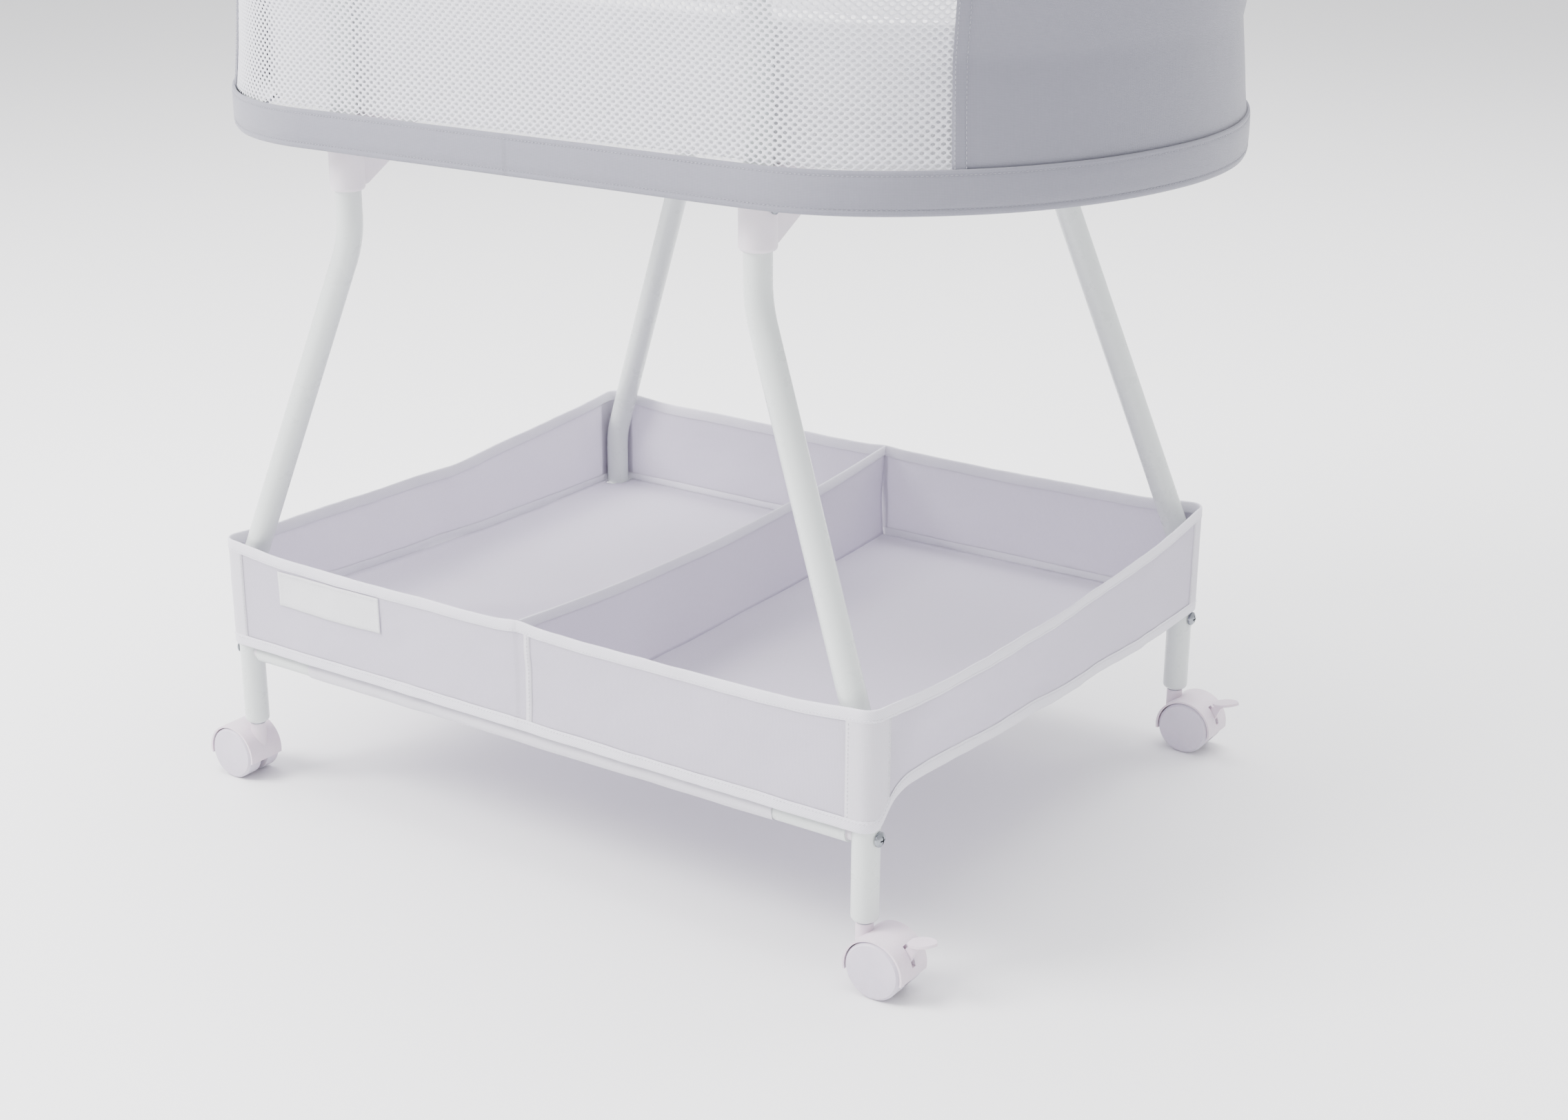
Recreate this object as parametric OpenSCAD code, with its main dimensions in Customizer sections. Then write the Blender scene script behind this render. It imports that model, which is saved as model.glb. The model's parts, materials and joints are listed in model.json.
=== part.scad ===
// Bassinet on a wheeled tube stand, with a storage basket between the legs.
// Millimetres. +Z is up, X runs along the bed, Y across it. The origin lies on
// the floor under the middle of the bed. The front is -Y and the right end is +X.

/* [Bed] */
// Length of the bed over the lower band
bed_len = 812; // [790:1:840]
// Width of the bed over the lower band
bed_wid = 500; // [480:5:520]
// Half-length of the straight stretch of each long side
side_x = 200; // [190:1:210]
// Corner radius of the bed outline
corner_r = 160; // [140:1:170]
// Height of the lower band's bottom edge above the floor
band_z = 533; // [500:1:560]
// Height of the lower band
band_h = 30; // [24:1:36]
// Height of the bed's top edge above the floor
rim_z = 800; // [780:1:850]
// Height of the padded rim band at the top
rim_h = 42; // [36:1:50]
// Height of the wall's narrowest line
waist_z = 628; // [610:1:650]
// Half-width along X of the front and rear mesh windows
mesh_half = 321; // [290:1:330]
// Thickness of the fabric walls
fabric_t = 1.8; // [1.5:0.1:2.5]

/* [Mattress] */
// Length of the pad
pad_len = 778; // [760:1:780]
// Width of the pad, clear of the four uprights
pad_wid = 400; // [380:1:402]
// Corner radius of the pad
pad_r = 120; // [100:1:130]
// Thickness of the pad
pad_t = 38; // [25:1:38]
// Thickness of the stiff board under the pad
board_t = 3; // [2:0.5:4]
// Height of the inner liner's top edge above the floor
liner_top = 650; // [620:1:680]

/* [Stand] */
// Outer diameter of the leg tubes
tube_d = 20; // [18:1:20]
// Wall thickness of the tubes
tube_wall = 1.2; // [1:0.1:1.5]
// Distance of each foot from the middle, along X
foot_x = 295; // [285:1:300]
// Distance of each foot from the middle, along Y
foot_y = 246.5; // [243:0.5:246.5]
// Distance of each upright from the middle, along X
post_x = 185; // [180:1:190]
// Distance of each upright from the middle, along Y
post_y = 216; // [214:0.5:217]
// Height of the leg tube's bottom end above the floor
leg_z = 50; // [49.8:0.1:52]
// Height of the lower bend's corner
low_bend_z = 172; // [165:1:180]
// Height of the upper bend's corner
high_bend_z = 462; // [450:1:470]
// Height of the bracket's lower edge
bracket_z = 499; // [495:1:505]
// Diameter of the ring tubes, the cross bars and the base rails
bar_d = 16; // [14:1:16]
// Height of the base rails' centre line
rail_z = 114; // [111:0.5:114]

/* [Basket] */
// Height of the basket's bottom hem above the floor
basket_z = 120; // [118:1:124]
// Height of the basket walls
basket_h = 93; // [85:1:100]
// Radius of the basket's corners, outside
basket_r = 13; // [12.6:0.1:15]
// Thickness of the basket fabric
cloth_t = 1.5; // [1:0.1:1.6]
// Width of the binding tape along its edges
tape_w = 9.5; // [8:0.5:12]

/* [Casters] */
// Wheel diameter
wheel_d = 43; // [40:1:44]
// Distance from the swivel axis to the wheel axle
trail = 16.5; // [15:0.5:18]
// Overall width over the two wheel discs
caster_w = 35; // [32:1:38]
// Diameter of the swivel stem
stem_d = 8; // [7:1:8]
// Diameter of the wheel axle
axle_d = 5; // [4:1:6]

/* [Hidden] */
$fn = 64;

// Corners of the stand: [sign along X, sign along Y]
FL = [-1, -1];
FR = [1, -1];
RL = [-1, 1];
RR = [1, 1];
CORNERS = [FL, FR, RL, RR];

// Colours
paint = [0.85, 0.87, 0.86];
plastic = [0.93, 0.91, 0.93];
steel = [0.72, 0.73, 0.75];
grey_cloth = [0.72, 0.72, 0.78];
white_cloth = [0.93, 0.93, 0.96];

gap = 0.3;      // clearance between parts that move past each other
run = 0.06;     // radial running clearance of a shaft in its bore
eps = 1;        // overlap of cutting tools
STEP = 0.05;    // step where a corner circle meets its neighbours
TURN_FN = 48;   // sides of the tapered fabric shells

// Bed heights, from the ring upwards
ring_inset = 12;                          // lower ring's centre line inside the band
ring_z = band_z + 13;
liner_z = ring_z + bar_d / 2 + gap;
LINER_T = 1.6;
board_z = liner_z + LINER_T + gap;
pad_z = board_z + board_t;
wall_z = band_z + band_h - 2;
rim_low = rim_z - rim_h;
wall_top = rim_low + 6;
top_inset = -8;                           // the top ring stands outside the band's outline
top_ring_z = rim_z - 14;
waist_inset = 9;
head_inset = -14;                         // wall's outer face at its top edge

// Leg run in plan
lean_x = foot_x - post_x;
lean_y = foot_y - post_y;
lean = norm([lean_x, lean_y]);
lean_dir = atan2(lean_y, lean_x);
lean_angle = atan2(lean, high_bend_z - low_bend_z);
LOW_R = 70;                               // bend radii on the tube's centre line
HIGH_R = 90;
leg_top = band_z + 7;
flare_z = 650;                            // where an upright starts to lean outwards
flare_angle = atan2(bed_wid / 2 - top_inset - post_y, top_ring_z - flare_z);
FLARE_R = 80;

// Caster
wheel_r = wheel_d / 2;
hood_r = wheel_r + 2.5;
hood_t = 1.6;
hood_w = caster_w - 1;
web_t = 7;                                // thickness of the hood's middle web
neck_top = leg_z - 1.4;
BRAKE_PIVOT = [13, 7.5];                  // from the axle, outwards and up
brake_pin_d = 2.4;
BRAKE_RISE = 12;                          // the released lever points up by this angle

// ---------- outlines and bent tubes ----------

// Outer radius of the end arc that meets the corner arcs smoothly
function end_radius(l, w, s, r) =
    let(k = l / 2 - s, c = w / 2 - r) (k * k + c * c - r * r) / (2 * (k - r));

// Bed-shaped outline: straight sides, corner arcs and end arcs, all shrunk by inset.
// The corner circles stand back by STEP, so that no two edges only just touch.
module outline(inset = 0, l = bed_len, w = bed_wid, s = side_x, r = corner_r) {
    c = w / 2 - r;
    re = end_radius(l, w, s, r);
    ec = l / 2 - re;
    a = atan2(c, s - ec);
    t = [ec + (re - inset) * cos(a), (re - inset) * sin(a)];
    q = t - 3 * [cos(a), sin(a)];
    square([2 * s, w - 2 * inset], center = true);
    for (sx = [-1, 1]) flip_x(sx) {
        for (sy = [-1, 1]) translate([s, sy * c]) circle(r - inset - STEP);
        polygon([[s - 1, -c], [q[0], -q[1]], q, [s - 1, c]]);
        intersection() {
            translate([ec, 0]) circle(re - inset, $fn = 3 * $fn);
            translate([t[0] - 5, -t[1]]) square([re, 2 * t[1]]);
        }
    }
}

// Mirror their children for a negative sign
module flip_x(sign) {
    if (sign < 0) mirror([1, 0, 0]) children();
    else children();
}

module flip_y(sign) {
    if (sign < 0) mirror([0, 1, 0]) children();
    else children();
}

// Short collar that joins two stretches of tube where they meet, along +Z
module seam(r) cylinder(r = r + 0.05, h = 1, center = true);

// Rod of radius r that follows the bed outline
module outline_rod(inset, r) {
    c = bed_wid / 2 - corner_r;
    re = end_radius(bed_len, bed_wid, side_x, corner_r);
    ec = bed_len / 2 - re;
    a = atan2(c, side_x - ec);
    for (sy = [-1, 1]) translate([0, sy * (bed_wid / 2 - inset), 0]) rotate([0, 90, 0]) {
        cylinder(r = r, h = 2 * side_x, center = true);
        for (s = [-1, 1]) translate([0, 0, s * side_x]) seam(r);
    }
    for (sx = [-1, 1]) flip_x(sx) {
        for (sy = [-1, 1]) flip_y(sy) {
            translate([side_x, c, 0]) rotate([0, 0, a])
                rotate_extrude(angle = 90 - a) translate([corner_r - inset, 0]) circle(r);
            translate([ec, 0, 0]) rotate([0, 0, a]) translate([re - inset, 0, 0])
                rotate([90, 0, 0]) seam(r);
        }
        translate([ec, 0, 0]) rotate([0, 0, -a])
            rotate_extrude(angle = 2 * a) translate([re - inset, 0]) circle(r);
    }
}

// Hollow ring tube, with a drain hole in each straight side
module outline_tube(inset) difference() {
    outline_rod(inset, bar_d / 2);
    outline_rod(inset, bar_d / 2 - tube_wall);
    for (sy = [-1, 1]) translate([0, sy * (bed_wid / 2 - inset), -bar_d]) cylinder(d = 4, h = bar_d);
}

// Bend that starts at the origin going up and turns by angle towards +X
module bend(angle, bend_r, r) {
    translate([bend_r, 0, 0]) rotate([90, 0, 180])
        rotate_extrude(angle = angle) translate([bend_r, 0]) circle(r);
}

// Rod of radius r on a leg's centre line, from z0 up to z1.
// Local frame: the foot is at x = 0 and the leg leans towards +X.
module leg_rod(r, z0, z1) {
    low_cut = LOW_R * tan(lean_angle / 2);
    high_cut = HIGH_R * tan(lean_angle / 2);
    run_len = norm([lean, high_bend_z - low_bend_z]) - low_cut - high_cut;
    translate([0, 0, z0]) cylinder(r = r, h = low_bend_z - low_cut - z0);
    translate([0, 0, low_bend_z - low_cut]) {
        seam(r);
        bend(lean_angle, LOW_R, r);
    }
    translate([0, 0, low_bend_z]) rotate([0, lean_angle, 0]) translate([0, 0, low_cut]) {
        seam(r);
        cylinder(r = r, h = run_len);
        translate([0, 0, run_len]) seam(r);
    }
    translate([lean, 0, high_bend_z + high_cut]) {
        rotate([0, 180, 0]) bend(lean_angle, HIGH_R, r);
        seam(r);
        cylinder(r = r, h = z1 - high_bend_z - high_cut);
    }
}

// Places children made in a leg's local frame at a corner's foot
module at_foot(c) {
    translate([c[0] * foot_x, c[1] * foot_y, 0])
        rotate([0, 0, atan2(-c[1] * lean_y, -c[0] * lean_x)]) children();
}

// Places children at a caster's swivel axis, with +X the way the caster trails
module at_caster(c) {
    translate([c[0] * foot_x, c[1] * foot_y, 0]) flip_x(c[0]) children();
}

// ---------- stand ----------

module leg(c) color(paint) at_foot(c) difference() {
    swage_z = leg_z + 7;
    union() {
        leg_rod(tube_d / 2, swage_z, leg_top);
        rounded_end(tube_d / 2, 3.5, leg_z, swage_z + 0.5);
    }
    leg_rod(tube_d / 2 - tube_wall, swage_z, leg_top + eps);
    rounded_end(tube_d / 2 - tube_wall, 3.5 - tube_wall, leg_z + tube_wall, swage_z + 0.5);
    translate([0, 0, leg_z - eps]) cylinder(r = 6.8, h = 4);
    rotate([0, 0, screw_turn(c)]) translate([0, 0, rail_z]) rotate([0, 90, 0])
        cylinder(d = 4.4, h = 2 * tube_d, center = true);
}

// Short rod from z0 to z1, its lower edge rounded by e
module rounded_end(r, e, z0, z1) rotate_extrude() polygon(concat(
    [[0, z0]], [for (a = [0:15:90]) [r - e + e * sin(a), z0 + e - e * cos(a)]], [[r, z1], [0, z1]]));

// Turns a leg's local frame so that +X points along the world's X axis
function screw_turn(c) = -atan2(-c[1] * lean_y, -c[0] * lean_x);

// Rod of radius r on an upright's centre line, leaning towards +X above flare_z
module upright_rod(r, z0, end_cut) {
    cut = FLARE_R * tan(flare_angle / 2);
    lean_len = (top_ring_z - flare_z) / cos(flare_angle) - cut - end_cut;
    translate([0, 0, z0]) cylinder(r = r, h = flare_z - cut - z0);
    translate([0, 0, flare_z - cut]) {
        seam(r);
        bend(flare_angle, FLARE_R, r);
    }
    translate([0, 0, flare_z]) rotate([0, flare_angle, 0]) translate([0, 0, cut]) {
        seam(r);
        cylinder(r = r, h = lean_len);
    }
}

// Upright: spigot in the leg's top, straight run, then a lean outwards to the top ring
module upright(c) color(paint) translate([c[0] * post_x, c[1] * post_y, 0])
    flip_y(c[1]) rotate([0, 0, 90]) difference() {
        bore = tube_d / 2 - tube_wall;
        start = leg_top + 0.2;
        union() {
            upright_rod(tube_d / 2, start, 13);
            translate([0, 0, start - 25]) cylinder(r = bore - 0.1, h = 26);
        }
        upright_rod(bore, start + 3, 12);
        translate([0, 0, start - 26]) cylinder(r = bore - 1.3, h = 40);
    }

// Clips on the top ring, one plug down into each upright
module ring_clips() color(plastic) for (c = CORNERS)
    translate([c[0] * post_x, c[1] * (bed_wid / 2 - top_inset), top_ring_z])
    flip_y(c[1]) rotate([-flare_angle, 0, 0]) difference() {
        union() {
            rotate([flare_angle, 0, 0]) rotate([0, 90, 0])
                cylinder(r = bar_d / 2 + 1.8, h = 24, center = true);
            translate([0, 0, -36]) cylinder(r = tube_d / 2 - tube_wall - 0.1, h = 30);
            translate([0, 0, -12.8]) cylinder(r = tube_d / 2 - 0.6, h = 6);
        }
        rotate([flare_angle, 0, 0]) rotate([0, 90, 0])
            cylinder(r = bar_d / 2 + 0.05, h = 30, center = true);
    }

// Bracket: leg socket, saddle for the lower ring, collar for the cross bar and a gusset
module bracket(c) color(plastic) translate([c[0] * post_x, c[1] * post_y, 0]) flip_y(c[1]) {
    body_r = 13.25;
    top = liner_z - 1;
    reach = bed_wid / 2 - ring_inset - post_y;
    difference() {
        union() {
            translate([0, 0, bracket_z + 3]) cylinder(r = body_r, h = top - bracket_z - 3);
            translate([0, 0, bracket_z]) cylinder(r = body_r - 3, h = 5);
            translate([0, 0, bracket_z + 3])
                rotate_extrude() translate([body_r - 3, 0]) circle(3);
            translate([-11, 0, ring_z - 9]) cube([22, reach + 1, 13]);
            translate([0, -52, ring_z]) rotate([-90, 0, 0]) cylinder(r = bar_d / 2 + 2.2, h = 46);
            rotate([90, 0, 90]) translate([0, 0, -6]) linear_extrude(12) polygon([
                [-8, bracket_z + 2], [-16, bracket_z + 3], [-78, band_z + 2],
                [-78, ring_z - 9], [-50, ring_z - 8.5], [-50, ring_z], [-8, ring_z]
            ]);
        }
        translate([0, 0, bracket_z - eps]) cylinder(d = tube_d + 0.1, h = top - bracket_z + 2 * eps);
        translate([0, reach, ring_z]) rotate([0, 90, 0])
            cylinder(r = bar_d / 2 + 0.05, h = 40, center = true);
        translate([0, -54, ring_z]) rotate([-90, 0, 0]) cylinder(r = bar_d / 2 + 0.05, h = 40.5);
        translate([0, 0, band_z - 3]) rotate([0, 90, 0]) cylinder(d = 4.4, h = 40, center = true);
        translate([-30, -90, top + 0.5]) cube([60, 130, 20]);
    }
}

module base_rails() color(paint) for (sy = [-1, 1])
    translate([0, sy * foot_y, rail_z]) rotate([0, 90, 0]) difference() {
        half = foot_x - tube_d / 2 - 2.5;
        cylinder(d = bar_d, h = 2 * half, center = true);
        cylinder(r = bar_d / 2 - tube_wall, h = 2 * half + eps, center = true);
    }

// Plugs that close the rails' ends and seat on the legs
module rail_end_plugs() color(plastic) for (c = CORNERS)
    translate([c[0] * foot_x, c[1] * foot_y, rail_z]) rotate([0, -c[0] * 90, 0]) difference() {
        face = tube_d / 2 + 2.5;
        union() {
            translate([0, 0, face]) cylinder(r = bar_d / 2 - tube_wall - 0.05, h = 19);
            translate([0, 0, 6]) cylinder(r = bar_d / 2 - 2, h = face - 6);
        }
        rotate([0, 90, 0]) cylinder(d = tube_d + 0.1, h = 60, center = true);
        translate([0, 0, 5]) cylinder(d = 4.4, h = 30);
    }

// Pan-head screw along +Z, its head's underside at the origin
module pan_screw(length) {
    difference() {
        union() {
            cylinder(r = 5.6, h = 1.4);
            translate([0, 0, 1.4]) intersection() {
                cylinder(r = 5.6, h = 3);
                translate([0, 0, -5.2]) sphere(r = 7.65);
            }
        }
        for (a = [0, 90]) rotate([0, 0, a]) translate([-3, -0.6, 1.4]) cube([6, 1.2, 3]);
    }
    translate([0, 0, -length]) cylinder(d = 4.2, h = length + 0.5);
}

// One screw through each leg into its rail, and one in each bracket's wall
module frame_screws() color(steel) for (c = CORNERS) {
    translate([c[0] * (foot_x + tube_d / 2 + 0.1), c[1] * foot_y, rail_z])
        rotate([0, c[0] * 90, 0]) pan_screw(36);
    translate([c[0] * (post_x + 13.3), c[1] * post_y, band_z - 3])
        rotate([0, c[0] * 90, 0]) pan_screw(3.1);
}

module cross_bars() color(paint) for (sx = [-1, 1])
    translate([sx * post_x, 0, ring_z]) rotate([90, 0, 0]) difference() {
        half = post_y - 13.6;
        cylinder(d = bar_d, h = 2 * half, center = true);
        cylinder(r = bar_d / 2 - tube_wall, h = 2 * half + eps, center = true);
    }

module lower_ring() color(paint) translate([0, 0, ring_z]) outline_tube(ring_inset);

module top_ring() color(paint) translate([0, 0, top_ring_z]) outline_tube(top_inset);

// ---------- mattress ----------

module pad_outline(inset = 0) outline(inset, pad_len, pad_wid, side_x, pad_r);

// White cloth sides round the mattress, inside the uprights
module inner_liner() color(white_cloth) translate([0, 0, liner_z])
    linear_extrude(liner_top - liner_z) difference() {
        pad_outline(-2.4 - LINER_T);
        pad_outline(-2.4);
    }

// Cloth sewn in under the mattress, between the liner's sides
module liner_base() color(white_cloth) translate([0, 0, liner_z])
    linear_extrude(LINER_T) pad_outline(-2.35);

module mattress_board() color([0.8, 0.7, 0.55]) translate([0, 0, board_z])
    linear_extrude(board_t) pad_outline(3);

module mattress() color(white_cloth) translate([0, 0, pad_z]) linear_extrude(pad_t) pad_outline();

// ---------- bed fabric ----------

// Tapered shell between two outlines, from z0 to z1; the insets are of its outer face
module flared(inset0, inset1, z0, z1, grow = 0) {
    l0 = bed_len / 2 - inset0;
    w0 = bed_wid / 2 - inset0;
    translate([0, 0, z0]) linear_extrude(z1 - z0,
        scale = [(bed_len / 2 - inset1) / l0, (bed_wid / 2 - inset1) / w0], slices = 1)
        outline(inset0 + grow, $fn = TURN_FN);
}

module bed_wall() {
    difference() {
        flared(3, waist_inset, wall_z, waist_z);
        flared(3, waist_inset, wall_z, waist_z, fabric_t);
    }
    difference() {
        flared(waist_inset, head_inset, waist_z, wall_top);
        flared(waist_inset, head_inset, waist_z, wall_top, fabric_t);
    }
}

module mesh_window(sy) color([0.96, 0.96, 0.97]) intersection() {
    bed_wall();
    flip_y(sy) translate([-mesh_half, 100, wall_z - eps])
        cube([2 * mesh_half, bed_wid, wall_top - wall_z + 2 * eps]);
}

module end_panel(sx) color(grey_cloth) intersection() {
    bed_wall();
    flip_x(sx) translate([mesh_half, -bed_wid, wall_z - eps])
        cube([bed_len, 2 * bed_wid, wall_top - wall_z + 2 * eps]);
}

// Fabric channel round the lower ring: outer skirt and a turned-in hem
module lower_band() color(grey_cloth) {
    skirt_t = 2;
    translate([0, 0, band_z]) linear_extrude(band_h) difference() {
        outline();
        outline(skirt_t);
    }
    translate([0, 0, band_z]) linear_extrude(skirt_t) difference() {
        outline(1);
        outline(14);
    }
}

// Fabric channel over the top ring: outer skirt, top and inner lip
module rim_band() color(grey_cloth) {
    cover_t = 2;
    lip_h = 16;
    outer = top_inset - bar_d / 2 - 4;
    inner = top_inset + bar_d / 2 + 4;
    translate([0, 0, rim_low]) linear_extrude(rim_h) difference() {
        outline(outer);
        outline(outer + cover_t);
    }
    translate([0, 0, rim_z - 3]) linear_extrude(3) difference() {
        outline(outer + 1);
        outline(inner - 1);
    }
    translate([0, 0, rim_z - lip_h]) linear_extrude(lip_h) difference() {
        outline(inner - cover_t);
        outline(inner);
    }
}

// ---------- basket ----------

basket_half_x = foot_x + basket_r;
basket_half_y = foot_y + basket_r;
floor_z = rail_z + bar_d / 2 + 1.2;

// Rectangle with round corners, centred on the feet
module basket_outline(inset = 0) {
    r = basket_r - inset;
    square([2 * foot_x, 2 * foot_y + 2 * r], center = true);
    square([2 * foot_x + 2 * r, 2 * foot_y], center = true);
    for (c = CORNERS) translate([c[0] * foot_x, c[1] * foot_y]) circle(r);
}

module basket_ring(z, h, out, t) translate([0, 0, z]) linear_extrude(h) difference() {
    basket_outline(-out);
    basket_outline(t - out);
}

// The long walls carry the corners
module basket_long_wall(sy) color(white_cloth) intersection() {
    basket_ring(basket_z, basket_h, 0, cloth_t);
    flip_y(sy) translate([-400, foot_y, 0]) cube([800, 100, 400]);
}

// The short walls' lower edge is cut up in an arch between the corners
module basket_short_wall(sx) color(white_cloth) difference() {
    intersection() {
        basket_ring(basket_z, basket_h, 0, cloth_t);
        flip_x(sx) translate([basket_half_x - 10, -foot_y, 0]) cube([20, 2 * foot_y, 400]);
    }
    flip_x(sx) translate([basket_half_x - 20, -foot_y + 24, 0])
        cube([40, 2 * foot_y - 48, floor_z - 1.2]);
}

// Floor cloth, with a sleeve round each base rail and a pressed seam under the divider
module basket_floor() color(white_cloth) {
    sleeve_half = foot_x - 72;
    difference() {
        translate([0, 0, floor_z]) linear_extrude(cloth_t) basket_outline(cloth_t + 0.1);
        for (c = CORNERS) translate([c[0] * foot_x, c[1] * foot_y, 0])
            cylinder(d = tube_d + 0.6, h = 300);
        translate([-cloth_t / 2 - 0.5, -400, floor_z + cloth_t - 0.4]) cube([cloth_t + 1, 800, 2]);
    }
    for (sy = [-1, 1]) translate([0, sy * foot_y, rail_z]) rotate([0, 90, 0]) difference() {
        cylinder(r = bar_d / 2 + 1.4, h = 2 * sleeve_half, center = true);
        cylinder(r = bar_d / 2 + 0.3, h = 2 * sleeve_half + 2, center = true);
    }
}

// Upright cloth across the basket, lowest in the middle
module basket_divider() color(white_cloth) {
    low = 12;
    span = foot_y + basket_r - cloth_t - 0.2;
    base = floor_z + cloth_t + 0.1;
    top = basket_z + basket_h - 4;
    sag_r = (span * span + low * low) / (2 * low);
    translate([cloth_t / 2, 0, 0]) rotate([90, 0, -90]) linear_extrude(cloth_t) difference() {
        translate([-span, base]) square([2 * span, top - base]);
        translate([0, top - low + sag_r]) circle(sag_r, $fn = 200);
    }
}

// Tape folded over the top edge and along the bottom edge
module basket_binding() color("white") {
    out = 0.7;
    basket_ring(basket_z + basket_h - tape_w, tape_w, out, out - 0.05);
    basket_ring(basket_z + basket_h + 0.05, out, out, cloth_t + 2 * out);
    intersection() {
        basket_ring(basket_z, tape_w, out, out - 0.05);
        union() {
            for (sy = [-1, 1]) flip_y(sy) translate([-400, foot_y - 22, 0]) cube([800, 100, 400]);
        }
    }
}

// Blank sewn-on tag under the top tape
module basket_tag() color("white") translate([-246, -basket_half_y - 0.9, basket_z + 46.5])
    cube([108, 0.8, 29]);

// ---------- casters ----------

// Plastic insert in each leg's end, with the stem's bore
module stem_sockets() color(plastic) for (c = CORNERS)
    translate([c[0] * foot_x, c[1] * foot_y, 0]) difference() {
        union() {
            translate([0, 0, leg_z - 0.3]) cylinder(r = 6.7, h = 9);
            translate([0, 0, leg_z + 7.5]) cylinder(r = tube_d / 2 - tube_wall - 0.1, h = 31);
        }
        translate([0, 0, leg_z - eps]) cylinder(d = stem_d + 2 * run, h = 37.5);
    }

// Hood over the two wheels, its middle web, and the neck that holds the stem
module hood(c) color(plastic) at_caster(c) {
    brake = c[0] > 0;
    difference() {
        union() {
            difference() {
                axle_frame() rotate([90, 0, 0]) cylinder(r = hood_r, h = hood_w, center = true);
                axle_frame() rotate([90, 0, 0])
                    cylinder(r = hood_r - hood_t, h = hood_w + 2, center = true);
                hood_mouth();
            }
            difference() {
                union() {
                    axle_frame() rotate([90, 0, 0])
                        cylinder(r = hood_r - 1, h = web_t, center = true);
                    translate([0, 0, wheel_r]) cylinder(r = 6.4, h = neck_top - wheel_r);
                }
                hood_mouth();
                for (s = [-1, 1]) axle_frame() translate([0, s * (web_t / 2 + 10), 0])
                    rotate([90, 0, 0]) cylinder(r = hood_r - hood_t, h = 20, center = true);
            }
            axle_frame() rotate([90, 0, 0]) cylinder(r = 5.2, h = web_t, center = true);
        }
        translate([0, 0, neck_top - 10]) cylinder(d = stem_d, h = 20);
        axle_frame() rotate([90, 0, 0]) cylinder(d = axle_d, h = 40, center = true);
        if (brake) brake_slot();
    }
    if (brake) axle_frame() translate([BRAKE_PIVOT[0], 0, BRAKE_PIVOT[1]]) rotate([90, 0, 0])
        cylinder(d = brake_pin_d, h = web_t - 0.6, center = true);
}

module axle_frame() translate([trail, 0, wheel_r]) children();

// Everything under the hood's lower edges, which end a little below the axle
module hood_mouth() axle_frame() {
    translate([-40, -30, -40]) cube([80, 60, 35.5]);
}

// Pocket in the web and slot through the hood, for the brake lever
module brake_slot() axle_frame() {
    translate([BRAKE_PIVOT[0], 0, BRAKE_PIVOT[1]]) rotate([90, 0, 0])
        linear_extrude(4.6, center = true) {
            circle(4);
            polygon([[-2, -4], [4, -4], [14, -3.5], [14, 13], [4, 13], [-2, 4]]);
        }
}

// Brake lever: hub on its pin, fin through the slot and a leaf-shaped tab outside
module brake(c) color(plastic) at_caster(c) axle_frame()
    translate([BRAKE_PIVOT[0], 0, BRAKE_PIVOT[1]]) rotate([0, -BRAKE_RISE, 0]) difference() {
        union() {
            rotate([90, 0, 0]) cylinder(r = 3.4, h = 4, center = true);
            rotate([90, 0, 0]) linear_extrude(4, center = true)
                polygon([[0, -3.4], [8, -2], [15, 8], [22, 12], [22, 13], [12, 13], [4, 6], [-1, 3.2]]);
            translate([0, 0, 12]) linear_extrude(2) leaf();
        }
        rotate([90, 0, 0]) cylinder(d = brake_pin_d + 2 * run, h = 10, center = true);
    }

// Leaf-shaped tab in plan, pointing along +X from the hood's skin
module leaf() intersection() {
    translate([19.5, 5]) circle(13);
    translate([19.5, -5]) circle(13);
    translate([10, -12]) square([30, 24]);
}

module stem(c) color(steel) translate([c[0] * foot_x, c[1] * foot_y, 0]) {
    translate([0, 0, neck_top - 10]) cylinder(d = stem_d, h = 44);
    translate([0, 0, neck_top]) cylinder(r = 6.1, h = 0.8);
}

module axle(c) color(steel) at_caster(c) axle_frame() rotate([90, 0, 0])
    cylinder(d = axle_d, h = caster_w - 5, center = true);

// One wheel of the twin pair; side -1 is towards the front of the bed
module wheel(c, side) color(plastic) at_caster(c) axle_frame() flip_y(side)
    translate([0, web_t / 2 + 0.5, 0]) rotate([-90, 0, 0]) {
        w = (caster_w - web_t) / 2 - 0.5;
        bevel = 1.8;
        difference() {
            union() {
                cylinder(r = wheel_r, h = w - bevel);
                translate([0, 0, w - bevel]) intersection() {
                    cylinder(r = wheel_r, h = bevel);
                    translate([0, 0, -wheel_r + bevel - 0.2]) cylinder(
                        r1 = 2 * wheel_r, r2 = wheel_r - bevel, h = wheel_r + 0.2);
                }
            }
            translate([0, 0, -eps]) cylinder(d = axle_d + 2 * run, h = w - 2 + eps);
            translate([0, 0, -eps]) difference() {
                cylinder(r = wheel_r - 4, h = w - 4 + eps);
                cylinder(r = axle_d / 2 + 3, h = w);
            }
        }
    }

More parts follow.
